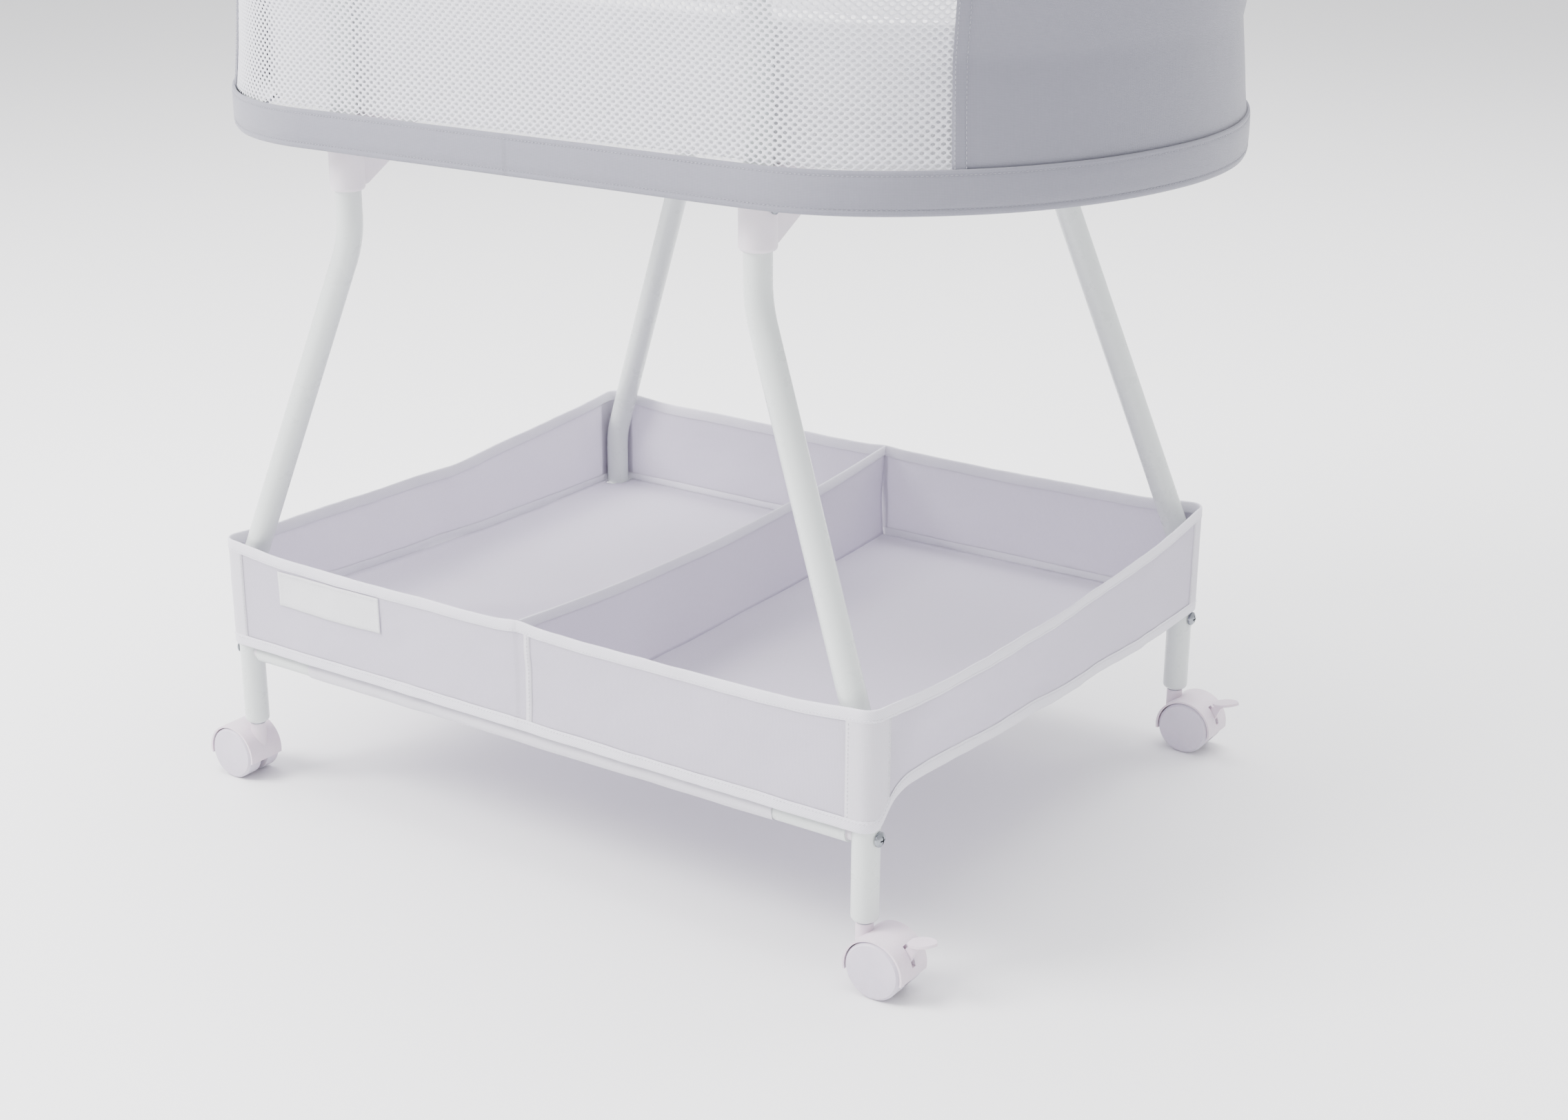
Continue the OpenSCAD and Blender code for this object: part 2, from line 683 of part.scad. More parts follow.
leg(FL);  // leg_front_left
leg(FR);  // leg_front_right
leg(RL);  // leg_rear_left
leg(RR);  // leg_rear_right
upright(FL);  // upright_front_left
upright(FR);  // upright_front_right
upright(RL);  // upright_rear_left
upright(RR);  // upright_rear_right
bracket(FL);  // bracket_front_left
bracket(FR);  // bracket_front_right
bracket(RL);  // bracket_rear_left
bracket(RR);  // bracket_rear_right
base_rails();
rail_end_plugs();
frame_screws();
cross_bars();
lower_ring();
top_ring();
ring_clips();
inner_liner();
liner_base();
mattress_board();
mattress();
lower_band();
mesh_window(-1);  // mesh_front
mesh_window(1);  // mesh_rear
end_panel(-1);  // end_panel_left
end_panel(1);  // end_panel_right
rim_band();
basket_long_wall(-1);  // basket_wall_front
basket_long_wall(1);  // basket_wall_rear
basket_short_wall(-1);  // basket_wall_left
basket_short_wall(1);  // basket_wall_right
basket_floor();
basket_divider();
basket_binding();
basket_tag();
stem_sockets();
hood(FL);  // hood_front_left
hood(FR);  // hood_front_right
hood(RL);  // hood_rear_left
hood(RR);  // hood_rear_right
stem(FL);  // stem_front_left
stem(FR);  // stem_front_right
stem(RL);  // stem_rear_left
stem(RR);  // stem_rear_right
axle(FL);  // axle_front_left
axle(FR);  // axle_front_right
axle(RL);  // axle_rear_left
axle(RR);  // axle_rear_right
wheel(FL, -1);  // wheel_front_left_outer
wheel(FL, 1);  // wheel_front_left_inner
wheel(FR, -1);  // wheel_front_right_outer
wheel(FR, 1);  // wheel_front_right_inner
wheel(RL, 1);  // wheel_rear_left_outer
wheel(RL, -1);  // wheel_rear_left_inner
wheel(RR, 1);  // wheel_rear_right_outer
wheel(RR, -1);  // wheel_rear_right_inner
brake(FR);  // brake_front_right
brake(RR);  // brake_rear_right
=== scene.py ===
"""Bassinet on a wheeled stand: cloth, mesh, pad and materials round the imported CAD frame.

Metres, +Z up, the front is -Y. Lengths named *_MM and the mm() helper are in millimetres.
"""

import json
import math

import bmesh
import bpy
import numpy as np
from mathutils import Matrix, Vector, noise


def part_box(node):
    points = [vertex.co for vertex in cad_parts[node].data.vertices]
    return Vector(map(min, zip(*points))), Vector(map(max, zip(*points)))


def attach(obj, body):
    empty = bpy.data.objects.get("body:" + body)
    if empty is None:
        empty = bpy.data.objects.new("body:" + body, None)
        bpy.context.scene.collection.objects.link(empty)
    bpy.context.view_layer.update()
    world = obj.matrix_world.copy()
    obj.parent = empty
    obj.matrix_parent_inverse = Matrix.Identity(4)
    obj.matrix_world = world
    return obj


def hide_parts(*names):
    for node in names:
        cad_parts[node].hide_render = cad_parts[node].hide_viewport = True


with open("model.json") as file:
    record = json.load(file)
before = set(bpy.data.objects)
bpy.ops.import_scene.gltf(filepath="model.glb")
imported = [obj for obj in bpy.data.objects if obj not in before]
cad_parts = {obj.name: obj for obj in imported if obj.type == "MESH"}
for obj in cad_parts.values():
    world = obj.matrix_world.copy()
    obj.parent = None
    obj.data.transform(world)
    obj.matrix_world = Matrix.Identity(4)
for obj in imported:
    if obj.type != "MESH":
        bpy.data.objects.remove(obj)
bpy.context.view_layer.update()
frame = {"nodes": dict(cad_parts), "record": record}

MM = 0.001


def mm(*values):
    """Millimetres to metres, for one value or several."""
    scaled = [v * MM for v in values]
    return scaled[0] if len(scaled) == 1 else scaled


# ---------------------------------------------------------------- node boxes
BAND_LO, BAND_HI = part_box("lower_band")
RIM_LO, RIM_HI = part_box("rim_band")
MESH_LO, MESH_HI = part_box("mesh_front")
LINER_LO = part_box("inner_liner")[0]
PAD_LO, PAD_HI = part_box("mattress")
WALL_LO, WALL_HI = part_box("basket_wall_front")
FLOOR_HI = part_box("basket_floor")[1]
DIV_LO, DIV_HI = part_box("basket_divider")
TAG_LO, TAG_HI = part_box("basket_tag")
RAIL_LO, RAIL_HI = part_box("base_rails")


# ---------------------------------------------------------------- outlines
class Path:
    """Closed plan outline of straights and arcs, run anticlockwise from the front middle."""

    def __init__(self, pieces):
        self.pieces = pieces
        self.ends = np.cumsum([p[1] for p in pieces])
        self.length = float(self.ends[-1])

    def at(self, s):
        """Points and outward normals at arc lengths s."""
        s = np.mod(np.asarray(s, float), self.length)
        index = np.searchsorted(self.ends, s, side="right").clip(0, len(self.pieces) - 1)
        point, normal = np.zeros((len(s), 2)), np.zeros((len(s), 2))
        for i, (kind, length, data) in enumerate(self.pieces):
            pick = index == i
            along = s[pick] - (self.ends[i] - length)
            if kind == "line":
                start, way = data
                point[pick] = start + along[:, None] * way
                normal[pick] = (way[1], -way[0])
            else:
                centre, radius, angle = data
                turn = angle + along / radius
                unit = np.stack([np.cos(turn), np.sin(turn)], 1)
                point[pick] = centre + radius * unit
                normal[pick] = unit
        return point, normal

    def steps(self, step, start=0.0, stop=None):
        stop = self.length if stop is None else stop
        n = max(2, int(round((stop - start) / step)))
        return start + (stop - start) * np.arange(n + (stop - start < self.length - 1e-6)) / n


def line(x0, y0, x1, y1):
    a, b = np.array([x0, y0]), np.array([x1, y1])
    length = float(np.linalg.norm(b - a))
    return ("line", length, (a, (b - a) / length))


def arc(cx, cy, radius, start, stop):
    return ("arc", radius * (stop - start), (np.array([cx, cy]), radius, start))


def bed_path(length, width, side, corner):
    """The bed's outline: straight sides, corner arcs and end arcs that meet smoothly."""
    k, c = length / 2 - side, width / 2 - corner
    end = (k * k + c * c - corner * corner) / (2 * (k - corner))
    ec = length / 2 - end
    a, q, h = math.atan2(c, side - ec), math.pi / 2, width / 2
    return Path([
        line(0, -h, side, -h), arc(side, -c, corner, -q, -a), arc(ec, 0, end, -a, a),
        arc(side, c, corner, a, q), line(side, h, -side, h),
        arc(-side, c, corner, q, math.pi - a), arc(-ec, 0, end, math.pi - a, math.pi + a),
        arc(-side, -c, corner, math.pi + a, 3 * q), line(-side, -h, 0, -h)])


def box_path(half_x, half_y, r):
    """Rectangle with round corners."""
    x, y, q = half_x - r, half_y - r, math.pi / 2
    return Path([
        line(0, -half_y, x, -half_y), arc(x, -y, r, -q, 0), line(half_x, -y, half_x, y),
        arc(x, y, r, 0, q), line(x, half_y, -x, half_y), arc(-x, y, r, q, 2 * q),
        line(-half_x, y, -half_x, -y), arc(-x, -y, r, 2 * q, 3 * q), line(-x, -half_y, 0, -half_y)])


BED = bed_path(BAND_HI.x * 2, BAND_HI.y * 2, mm(200), mm(160))
PAD = bed_path(PAD_HI.x * 2, PAD_HI.y * 2, mm(200), mm(120))
BASKET = box_path(WALL_HI.x, -WALL_LO.y, mm(13))


# ---------------------------------------------------------------- mesh helpers
def make(name, verts, faces, uvs=None):
    """Mesh object; uvs is one pair per vertex."""
    data = bpy.data.meshes.new(name)
    data.from_pydata([tuple(v) for v in verts], [], [tuple(f) for f in faces])
    data.validate()
    if uvs is not None:
        layer = data.uv_layers.new(name="UVMap")
        loops = np.zeros(len(data.loops), np.int32)
        data.loops.foreach_get("vertex_index", loops)
        layer.data.foreach_set("uv", np.asarray(uvs, np.float32)[loops].ravel())
    data.polygons.foreach_set("use_smooth", [True] * len(data.polygons))
    obj = bpy.data.objects.new(name, data)
    bpy.context.scene.collection.objects.link(obj)
    return obj


def grid_faces(rows, cols, closed):
    faces = []
    for i in range(rows if closed else rows - 1):
        j = (i + 1) % rows
        for k in range(cols - 1):
            faces.append((i * cols + k, j * cols + k, j * cols + k + 1, i * cols + k + 1))
    return faces


def place(path, s, inset, z):
    """World points at arc lengths s, insets and heights (all the same length)."""
    point, normal = path.at(s)
    xy = point - np.asarray(inset)[:, None] * normal
    return np.column_stack([xy, z])


def loft(name, path, s, profile, closed=True, thickness=0.0):
    """Sheet lofted along a path. profile(s) gives (insets, heights), each len(s) by m."""
    inset, z = profile(s)
    rows, cols = inset.shape
    verts = np.stack([place(path, s, inset[:, k], z[:, k]) for k in range(cols)], 1)
    drop = np.linalg.norm(np.diff(verts, axis=1), axis=2)
    v = np.concatenate([np.zeros((rows, 1)), np.cumsum(drop, 1)], 1)
    uv = np.stack([np.repeat(s[:, None], cols, 1), v], 2).reshape(-1, 2)
    obj = make(name, verts.reshape(-1, 3), grid_faces(rows, cols, closed), uv)
    if thickness:
        thicken(obj, thickness)
    return obj


def thicken(obj, thickness):
    """Give a sheet its thickness, half to each side."""
    solid = obj.modifiers.new("Thickness", "SOLIDIFY")
    solid.thickness = thickness
    solid.offset = 0.0
    apply(obj)


def apply(obj):
    """Replace the mesh by its evaluated one and drop the modifiers."""
    graph = bpy.context.evaluated_depsgraph_get()
    data = bpy.data.meshes.new_from_object(obj.evaluated_get(graph))
    obj.modifiers.clear()
    old = obj.data
    obj.data = data
    bpy.data.meshes.remove(old)


def fixed(points):
    """Profile that is the same all along: a list of (inset mm, height mm)."""
    p = np.array(points, float) * MM
    return lambda s: (np.repeat(p[None, :, 0], len(s), 0), np.repeat(p[None, :, 1], len(s), 0))


def ripple(s, z, size, pitch, seed):
    """Smooth repeatable unevenness of cloth, about +-size."""
    out = np.zeros(np.broadcast(s, z).shape)
    flat_s, flat_z = np.broadcast_arrays(s, z)
    for index in np.ndindex(out.shape):
        where = Vector((flat_s[index] / pitch, flat_z[index] / pitch * 1.4, seed))
        out[index] = noise.noise(where)
    return out * size


def stitches(name, points, normals, pitch=3.1, length=2.1, width=0.5, height=0.42):
    """Thread dashes along a polyline that lies on a surface, mostly sunk into it."""
    points = np.asarray(points, float)
    normals = np.asarray(normals, float)
    seg = np.linalg.norm(np.diff(points, axis=0), axis=1)
    run = np.concatenate([[0], np.cumsum(seg)])
    centres = np.arange(mm(pitch) / 2, run[-1], mm(pitch))

    def sample(values, where):
        return np.stack([np.interp(where, run, values[:, k]) for k in range(3)], 1)

    middle, up = sample(points, centres), sample(normals, centres)
    way = sample(points, centres + mm(0.5)) - sample(points, centres - mm(0.5))
    way /= np.linalg.norm(way, axis=1)[:, None] + 1e-12
    side = np.cross(up, way)
    verts, faces = [], []
    for c, u, w, d in zip(middle, up, way, side):
        base = len(verts)
        verts.append(c - w * mm(length) / 2 - u * mm(0.15))
        for at in (-0.28, 0.28):
            for a, b in ((1, 0), (0, 1), (-1, 0), (0, -0.6)):
                verts.append(c + w * mm(length) * at + d * a * mm(width) / 2 + u * b * mm(height))
        verts.append(c + w * mm(length) / 2 - u * mm(0.15))
        for k in range(4):
            n = (k + 1) % 4
            faces += [(base, base + 1 + n, base + 1 + k),
                      (base + 1 + k, base + 1 + n, base + 5 + n, base + 5 + k),
                      (base + 9, base + 5 + k, base + 5 + n)]
    return make(name, verts, faces)


def path_stitches(name, path, s, inset, z, **keys):
    """Stitches along a path, at the given insets and heights, facing outwards."""
    inset = np.broadcast_to(inset, s.shape)
    z = np.broadcast_to(z, s.shape)
    normal = path.at(s)[1]
    up = np.column_stack([normal, np.zeros(len(s))])
    return stitches(name, place(path, s, inset, z), up, **keys)


def join(name, objs):
    """One mesh object out of several."""
    bm = bmesh.new()
    for o in objs:
        bm.from_mesh(o.data)
        data = o.data
        bpy.data.objects.remove(o)
        bpy.data.meshes.remove(data)
    data = bpy.data.meshes.new(name)
    bm.to_mesh(data)
    bm.free()
    data.polygons.foreach_set("use_smooth", [True] * len(data.polygons))
    obj = bpy.data.objects.new(name, data)
    bpy.context.scene.collection.objects.link(obj)
    return obj


# ---------------------------------------------------------------- materials
class Shader:
    """A node material under construction."""

    def __init__(self, name):
        self.mat = bpy.data.materials.new(name)
        self.mat.use_nodes = True
        self.tree = self.mat.node_tree
        self.bsdf = self.tree.nodes["Principled BSDF"]
        self.out = self.tree.nodes["Material Output"]

    def node(self, kind, inputs=None, **props):
        n = self.tree.nodes.new(kind)
        for key, value in props.items():
            setattr(n, key, value)
        for key, value in (inputs or {}).items():
            if isinstance(value, bpy.types.NodeSocket):
                self.tree.links.new(value, n.inputs[key])
            else:
                n.inputs[key].default_value = value
        return n

    def coords(self, kind):
        return self.node("ShaderNodeTexCoord").outputs[kind]

    def noise(self, vector, scale, detail=3.0, rough=0.5):
        return self.node("ShaderNodeTexNoise", {
            "Vector": vector, "Scale": scale, "Detail": detail, "Roughness": rough},
        ).outputs["Fac"]

    def wave(self, vector, pitch, axis):
        """Bands across one axis, pitch in metres."""
        n = self.node("ShaderNodeTexWave", {"Vector": vector, "Scale": 0.31416 / pitch},
                      wave_type="BANDS", bands_direction=axis, wave_profile="SIN")
        return n.outputs["Fac"]

    def math(self, op, a, b=0.0):
        return self.node("ShaderNodeMath", {0: a, 1: b}, operation=op).outputs[0]

    def spread(self, value, low, high):
        """Remap a value near 0.5 to the range low to high."""
        n = self.node("ShaderNodeMapRange", {
            "Value": value, "From Min": 0.3, "From Max": 0.7, "To Min": low, "To Max": high})
        return n.outputs["Result"]

    def mix(self, factor, a, b):
        n = self.node("ShaderNodeMix", data_type="RGBA")
        sockets = {"Factor": n.inputs[0], "A": n.inputs[6], "B": n.inputs[7]}
        for key, value in (("Factor", factor), ("A", a), ("B", b)):
            if isinstance(value, bpy.types.NodeSocket):
                self.tree.links.new(value, sockets[key])
            elif key == "Factor":
                sockets[key].default_value = value
            else:
                sockets[key].default_value = (*value, 1.0)
        return n.outputs[2]

    def set(self, **values):
        for key, value in values.items():
            socket = self.bsdf.inputs[key.replace("_", " ")]
            if isinstance(value, bpy.types.NodeSocket):
                self.tree.links.new(value, socket)
            elif isinstance(value, tuple):
                socket.default_value = (*value, 1.0)
            else:
                socket.default_value = value

    def bump(self, height, distance, strength=1.0, normal=None):
        n = self.node("ShaderNodeBump", {
            "Height": height, "Distance": distance, "Strength": strength})
        if normal is not None:
            self.tree.links.new(normal, n.inputs["Normal"])
        return n.outputs["Normal"]


def shade(colour, by):
    return tuple(min(1.0, max(0.0, c * by)) for c in colour)


def painted(name, colour):
    """Gloss powder coat: orange peel, faint colour drift and a few dull rubs."""
    m = Shader(name)
    where = m.coords("Object")
    drift = m.spread(m.noise(where, 9.0), 0.0, 1.0)
    m.set(Base_Color=m.mix(drift, shade(colour, 0.965), shade(colour, 1.02)))
    rub = m.spread(m.noise(where, 55.0, 5.0, 0.65), 0.24, 0.36)
    m.set(Roughness=rub, Coat_Weight=0.35, Coat_Roughness=0.12)
    peel = m.noise(where, 420.0, 2.0)
    m.set(Normal=m.bump(peel, 0.00012, 0.35))
    return m.mat


def moulded(name, colour, low, high, grain=1600.0, darken_height=None):
    """Moulded plastic: fine grain, slight flow marks, and, if asked, darker speckles towards the
    floor.
    """
    m = Shader(name)
    where = m.coords("Object")
    flow = m.spread(m.noise(where, 38.0, 4.0), 0.0, 1.0)
    tone = m.mix(flow, shade(colour, 0.95), shade(colour, 1.03))
    if darken_height:
        # darker speckles that grow towards the floor, from the given height down to z = 0
        height = m.node("ShaderNodeSeparateXYZ", {0: where}).outputs["Z"]
        low_down = m.node("ShaderNodeMapRange", {
            "Value": height, "From Min": 0.0, "From Max": darken_height, "To Min": 0.55, "To Max": 0.0})
        speck = m.spread(m.noise(where, 240.0, 6.0, 0.7), 0.0, 1.0)
        tone = m.mix(m.math("MULTIPLY", low_down.outputs["Result"], speck), tone,
                     shade(colour, 0.74))
    scuff = m.spread(m.noise(where, 130.0, 5.0, 0.6), low, high)
    m.set(Base_Color=tone, Roughness=scuff, Subsurface_Weight=0.06, Subsurface_Scale=0.003)
    m.set(Normal=m.bump(m.noise(where, grain, 2.0), 0.00005, 0.4))
    return m.mat


def plated(name, colour):
    """Bright zinc plate with fine brushing."""
    m = Shader(name)
    where = m.coords("Object")
    streak = m.node("ShaderNodeMapping", {"Vector": where, "Scale": (1.0, 6.0, 1.0)})
    fine = m.noise(streak.outputs[0], 700.0, 3.0)
    m.set(Base_Color=m.mix(m.spread(fine, 0, 1), shade(colour, 0.86), shade(colour, 1.04)))
    m.set(Metallic=1.0, Roughness=m.spread(m.noise(where, 300.0, 4.0), 0.2, 0.4))
    m.set(Normal=m.bump(fine, 0.00003, 0.3))
    return m.mat


def woven(name, colour, pitch_mm=0.9, sheen=0.25, rough=0.85, through=0.0, see=0.0, twill=False,
          mottle=0.05):
    """Woven cloth on UVs in metres. through is light scattered through, see is openness."""
    m = Shader(name)
    uv = m.coords("UV")
    over = m.wave(uv, mm(pitch_mm), "DIAGONAL" if twill else "X")
    under = m.wave(uv, mm(pitch_mm), "Y")
    weave = m.math("MAXIMUM", over, m.math("MULTIPLY", under, 0.92))
    slub = m.noise(uv, 330.0, 4.0, 0.6)
    tone = m.mix(m.math("MULTIPLY", weave, 0.8), shade(colour, 0.80), shade(colour, 1.05))
    patch = m.spread(m.noise(m.coords("Object"), 14.0, 3.0), 0.0, 1.0)
    tone = m.mix(m.math("MULTIPLY", patch, mottle * 4), tone, shade(colour, 1 - mottle * 1.6))
    tone = m.mix(m.spread(slub, 0.0, 0.16), tone, shade(colour, 0.78))
    m.set(Base_Color=tone, Roughness=m.spread(slub, rough - 0.05, min(1.0, rough + 0.08)))
    m.set(Sheen_Weight=sheen, Sheen_Roughness=0.45, Specular_IOR_Level=0.25)
    creases = m.bump(m.noise(m.coords("Object"), 46.0, 4.0, 0.55), 0.0016, 0.35)
    m.set(Normal=m.bump(weave, 0.00018, 0.5, creases))
    surface = m.bsdf.outputs[0]
    if through:
        glow = m.node("ShaderNodeBsdfTranslucent", {"Color": tone})
        surface = m.node("ShaderNodeMixShader", {
            0: through, 1: surface, 2: glow.outputs[0]}).outputs[0]
    if see:
        clear = m.node("ShaderNodeBsdfTransparent")
        pores = m.math("MULTIPLY", m.math("SUBTRACT", 1.0, weave), see * 2)
        surface = m.node("ShaderNodeMixShader", {
            0: pores, 1: surface, 2: clear.outputs[0]}).outputs[0]
    m.tree.links.new(surface, m.out.inputs["Surface"])
    return m.mat


def knitted(name, colour):
    """Warp-knit strands: loops along the strand and a soft sheen."""
    m = Shader(name)
    where = m.coords("Object")
    loops = m.noise(where, 1500.0, 2.0)
    m.set(Base_Color=m.mix(m.spread(loops, 0, 1), shade(colour, 0.86), shade(colour, 1.04)))
    m.set(Roughness=m.spread(loops, 0.62, 0.8), Sheen_Weight=0.3, Sheen_Roughness=0.4)
    m.set(Normal=m.bump(loops, 0.00025, 0.5))
    glow = m.node("ShaderNodeBsdfTranslucent", {"Color": (*colour, 1.0)})
    both = m.node("ShaderNodeMixShader", {0: 0.22, 1: m.bsdf.outputs[0], 2: glow.outputs[0]})
    m.tree.links.new(both.outputs[0], m.out.inputs["Surface"])
    return m.mat


def thread(name, colour):
    m = Shader(name)
    where = m.coords("Object")
    ply = m.noise(where, 2600.0, 2.0)
    m.set(Base_Color=m.mix(m.spread(ply, 0, 1), shade(colour, 0.82), shade(colour, 1.05)))
    m.set(Roughness=m.spread(ply, 0.45, 0.65), Sheen_Weight=0.4)
    m.set(Normal=m.bump(ply, 0.0001, 0.5))
    return m.mat


def fibreboard(name, colour):
    m = Shader(name)
    where = m.coords("Object")
    fibre = m.noise(where, 190.0, 8.0, 0.7)
    m.set(Base_Color=m.mix(m.spread(fibre, 0, 1), shade(colour, 0.7), shade(colour, 1.2)))
    m.set(Roughness=m.spread(fibre, 0.5, 0.75))
    m.set(Normal=m.bump(fibre, 0.0002, 0.5))
    return m.mat


PAINT = painted("white_paint", (0.64, 0.675, 0.665))
PLASTIC = moulded("white_plastic", (0.74, 0.68, 0.74), 0.30, 0.44)
CASTER = moulded("caster_plastic", (0.74, 0.645, 0.73), 0.32, 0.48, darken_height=0.05)
WHEEL = moulded("wheel_plastic", (0.63, 0.58, 0.68), 0.42, 0.62, grain=900.0, darken_height=0.022)
ZINC = plated("zinc_steel", (0.30, 0.32, 0.35))
BOARD = fibreboard("fibreboard", (0.36, 0.24, 0.14))
GREY = woven("grey_cloth", (0.265, 0.265, 0.315), pitch_mm=1.0, sheen=0.3)
GREY_THREAD = thread("grey_thread", (0.38, 0.38, 0.44))
KNIT = knitted("white_mesh", (0.84, 0.84, 0.90))
LINER = woven("liner_cloth", (0.92, 0.92, 0.95), pitch_mm=0.8, through=0.15)
COVER = woven("mattress_cover", (0.86, 0.86, 0.87), pitch_mm=1.2, mottle=0.02)
BASKET_CLOTH = woven("basket_cloth", (0.80, 0.765, 0.86), pitch_mm=0.7, rough=0.7, through=0.42,
                     see=0.06, mottle=0.02)
SLEEVE_CLOTH = woven("basket_cloth_double", (0.82, 0.795, 0.87), pitch_mm=0.7, rough=0.7,
                     through=0.15, mottle=0.03)
TAPE = woven("binding_tape", (0.80, 0.78, 0.86), pitch_mm=0.9, twill=True, mottle=0.03)
WHITE_THREAD = thread("white_thread", (0.84, 0.83, 0.89))
SATIN = woven("tag_satin", (0.80, 0.80, 0.83), pitch_mm=0.45, sheen=0.5, rough=0.45, mottle=0.02)

NODE_MATERIAL = {
    "white_paint": PAINT, "white_plastic": PLASTIC, "wheel_plastic": WHEEL, "zinc_steel": ZINC,
    "fibreboard": BOARD, "grey_cloth": GREY, "white_mesh": KNIT, "liner_cloth": LINER,
    "mattress_cover": COVER, "basket_cloth": BASKET_CLOTH, "binding_tape": TAPE,
    "tag_satin": SATIN}


def dress(obj, mat, body="frame"):
    obj.data.materials.clear()
    obj.data.materials.append(mat)
    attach(obj, body)
    return obj


# ---------------------------------------------------------------- bed
BAND_Z, BAND_TOP = BAND_LO.z / MM, BAND_HI.z / MM
RIM_Z, RIM_TOP = RIM_LO.z / MM, RIM_HI.z / MM
WALL_Z, WAIST_Z, HEAD_Z = 561.0, 628.0, MESH_HI.z / MM
FOOT_INSET, WAIST_INSET, HEAD_INSET = 3.0, 10.0, -14.0


def wall_inset(z_mm):
    """Inset of the bed wall's outer face, from the band's bulge to the waist and the flare."""
    z = np.asarray(z_mm, float)
    rise = np.clip((z - WALL_Z) / (WAIST_Z - WALL_Z), 0, 1) ** 0.7
    flare = np.clip((z - WAIST_Z) / (HEAD_Z - WAIST_Z), 0, 1)
    low = FOOT_INSET + (WAIST_INSET - FOOT_INSET) * rise
    high = WAIST_INSET + (HEAD_INSET - WAIST_INSET) * flare
    return np.where(z < WAIST_Z, low, high) + 0.4


def front_reach():
    """Arc length from the front middle to the mesh window's side edge."""
    s = np.linspace(0, BED.length / 4, 4000)
    x = BED.at(s)[0][:, 0]
    return float(s[np.searchsorted(x, MESH_HI.x)])


REACH = front_reach()
HALF_ROUND = BED.length / 2


def knit_window(name, middle):
    """Open warp knit: staggered rows of wide holes with raised strands between them."""
    pitch_x, pitch_z, tall, short = 7.0, 2.7, 2.25, 0.45
    hole_x, hole_z, rise, deep = 1.9, 1.32, 0.28, 0.55
    low, high = MESH_LO.z / MM + 1.5, RIM_Z + 4
    cols = int(2 * REACH / MM / pitch_x) + 1
    rows = int((high - low) / pitch_z)
    corner, flat_s, flat_z, lift, faces = {}, [], [], [], []

    def add(a, b, out):
        flat_s.append(a)
        flat_z.append(b)
        lift.append(out)
        return len(flat_s) - 1

    def shared(a, b):
        key = (round(a * 20), round(b * 20))
        if key not in corner:
            corner[key] = add(a, b, rise)
        return corner[key]

    for r in range(rows):
        z = low + tall + r * pitch_z
        shift = pitch_x / 2 if r % 2 else 0.0
        for c in range(cols - (r % 2)):
            x = (c - (cols - 1) / 2) * pitch_x + shift
            wob = noise.noise(Vector((x * 0.21, z * 0.33, 3.7))) * 0.16
            hexagon = [(0, tall), (pitch_x / 2, short), (pitch_x / 2, -short), (0, -tall),
                       (-pitch_x / 2, -short), (-pitch_x / 2, short)]
            outer = [shared(x + a, z + b) for a, b in hexagon]
            ring = [(0.0, hole_z), (hole_x * 0.86, hole_z * 0.5), (hole_x * 0.86, -hole_z * 0.5),
                    (0.0, -hole_z), (-hole_x * 0.86, -hole_z * 0.5), (-hole_x * 0.86, hole_z * 0.5)]
            near = [add(x + a * (1 + wob), z + b * (1 - wob), 0.0) for a, b in ring]
            far = [add(x + a * 0.93, z + b * 0.93, -deep) for a, b in ring]
            for k in range(6):
                n = (k + 1) % 6
                faces.append((outer[k], near[k], near[n], outer[n]))
                faces.append((near[k], far[k], far[n], near[n]))
    s = np.array(flat_s) * MM + middle
    z = np.array(flat_z)
    loose = np.array([noise.noise(Vector((a / 0.07, b / 60, 1.3))) for a, b in zip(s, z)]) * 0.9
    inset = wall_inset(z) - np.array(lift) - loose * np.clip((z - 575) / 40, 0, 1)
    return make(name, place(BED, s, inset * MM, z * MM), faces, np.column_stack([s, z * MM]))


def panel(name, start, stop, seed):
    """Grey end wall between two mesh windows, a little slack across its middle."""
    s = BED.steps(mm(5), start, stop)
    z = np.linspace(BAND_TOP - 1.5, RIM_Z + 4, 40)

    def profile(along):
        slack = ripple(along[:, None], (z * MM)[None, :], 1.3, 0.085, seed)
        fade = np.clip((z - BAND_TOP) / 25, 0, 1) * np.clip((RIM_Z - z) / 25, 0, 1)
        inset = wall_inset(z)[None, :] - 0.9 + slack * fade
        return inset * MM, np.repeat(z[None, :] * MM, len(along), 0)

    return loft(name, BED, s, profile, closed=False, thickness=mm(0.9))


def hem_strip(name, centre, width_mm=11.0):
    """Doubled cloth strip that binds a mesh window's side edge to the end panel."""
    s = centre + np.linspace(-0.5, 0.5, 9) * mm(width_mm)
    z = np.linspace(BAND_TOP - 1.0, RIM_Z + 3, 50)
    crown = np.array([0.1, 0.75, 1.0, 1.05, 1.05, 1.05, 1.0, 0.75, 0.1])

    def profile(along):
        pucker = ripple(along[:, None], (z * MM)[None, :], 0.3, 0.02, 8.0)
        inset = wall_inset(z)[None, :] - 0.75 - crown[:, None] * 0.75 - pucker
        return inset * MM, np.repeat(z[None, :] * MM, len(along), 0)

    strip = loft(name, BED, s, profile, closed=False)
    rows = []
    for side in (-0.34, 0.34):
        at = np.full(len(z), centre + side * mm(width_mm))
        points = place(BED, at, (wall_inset(z) - 1.95) * MM, z * MM)
        up = np.column_stack([BED.at(at)[1], np.zeros(len(z))])
        rows.append(stitches(f"{name}_row", points, up))
    return strip, join(f"{name}_stitches", rows)


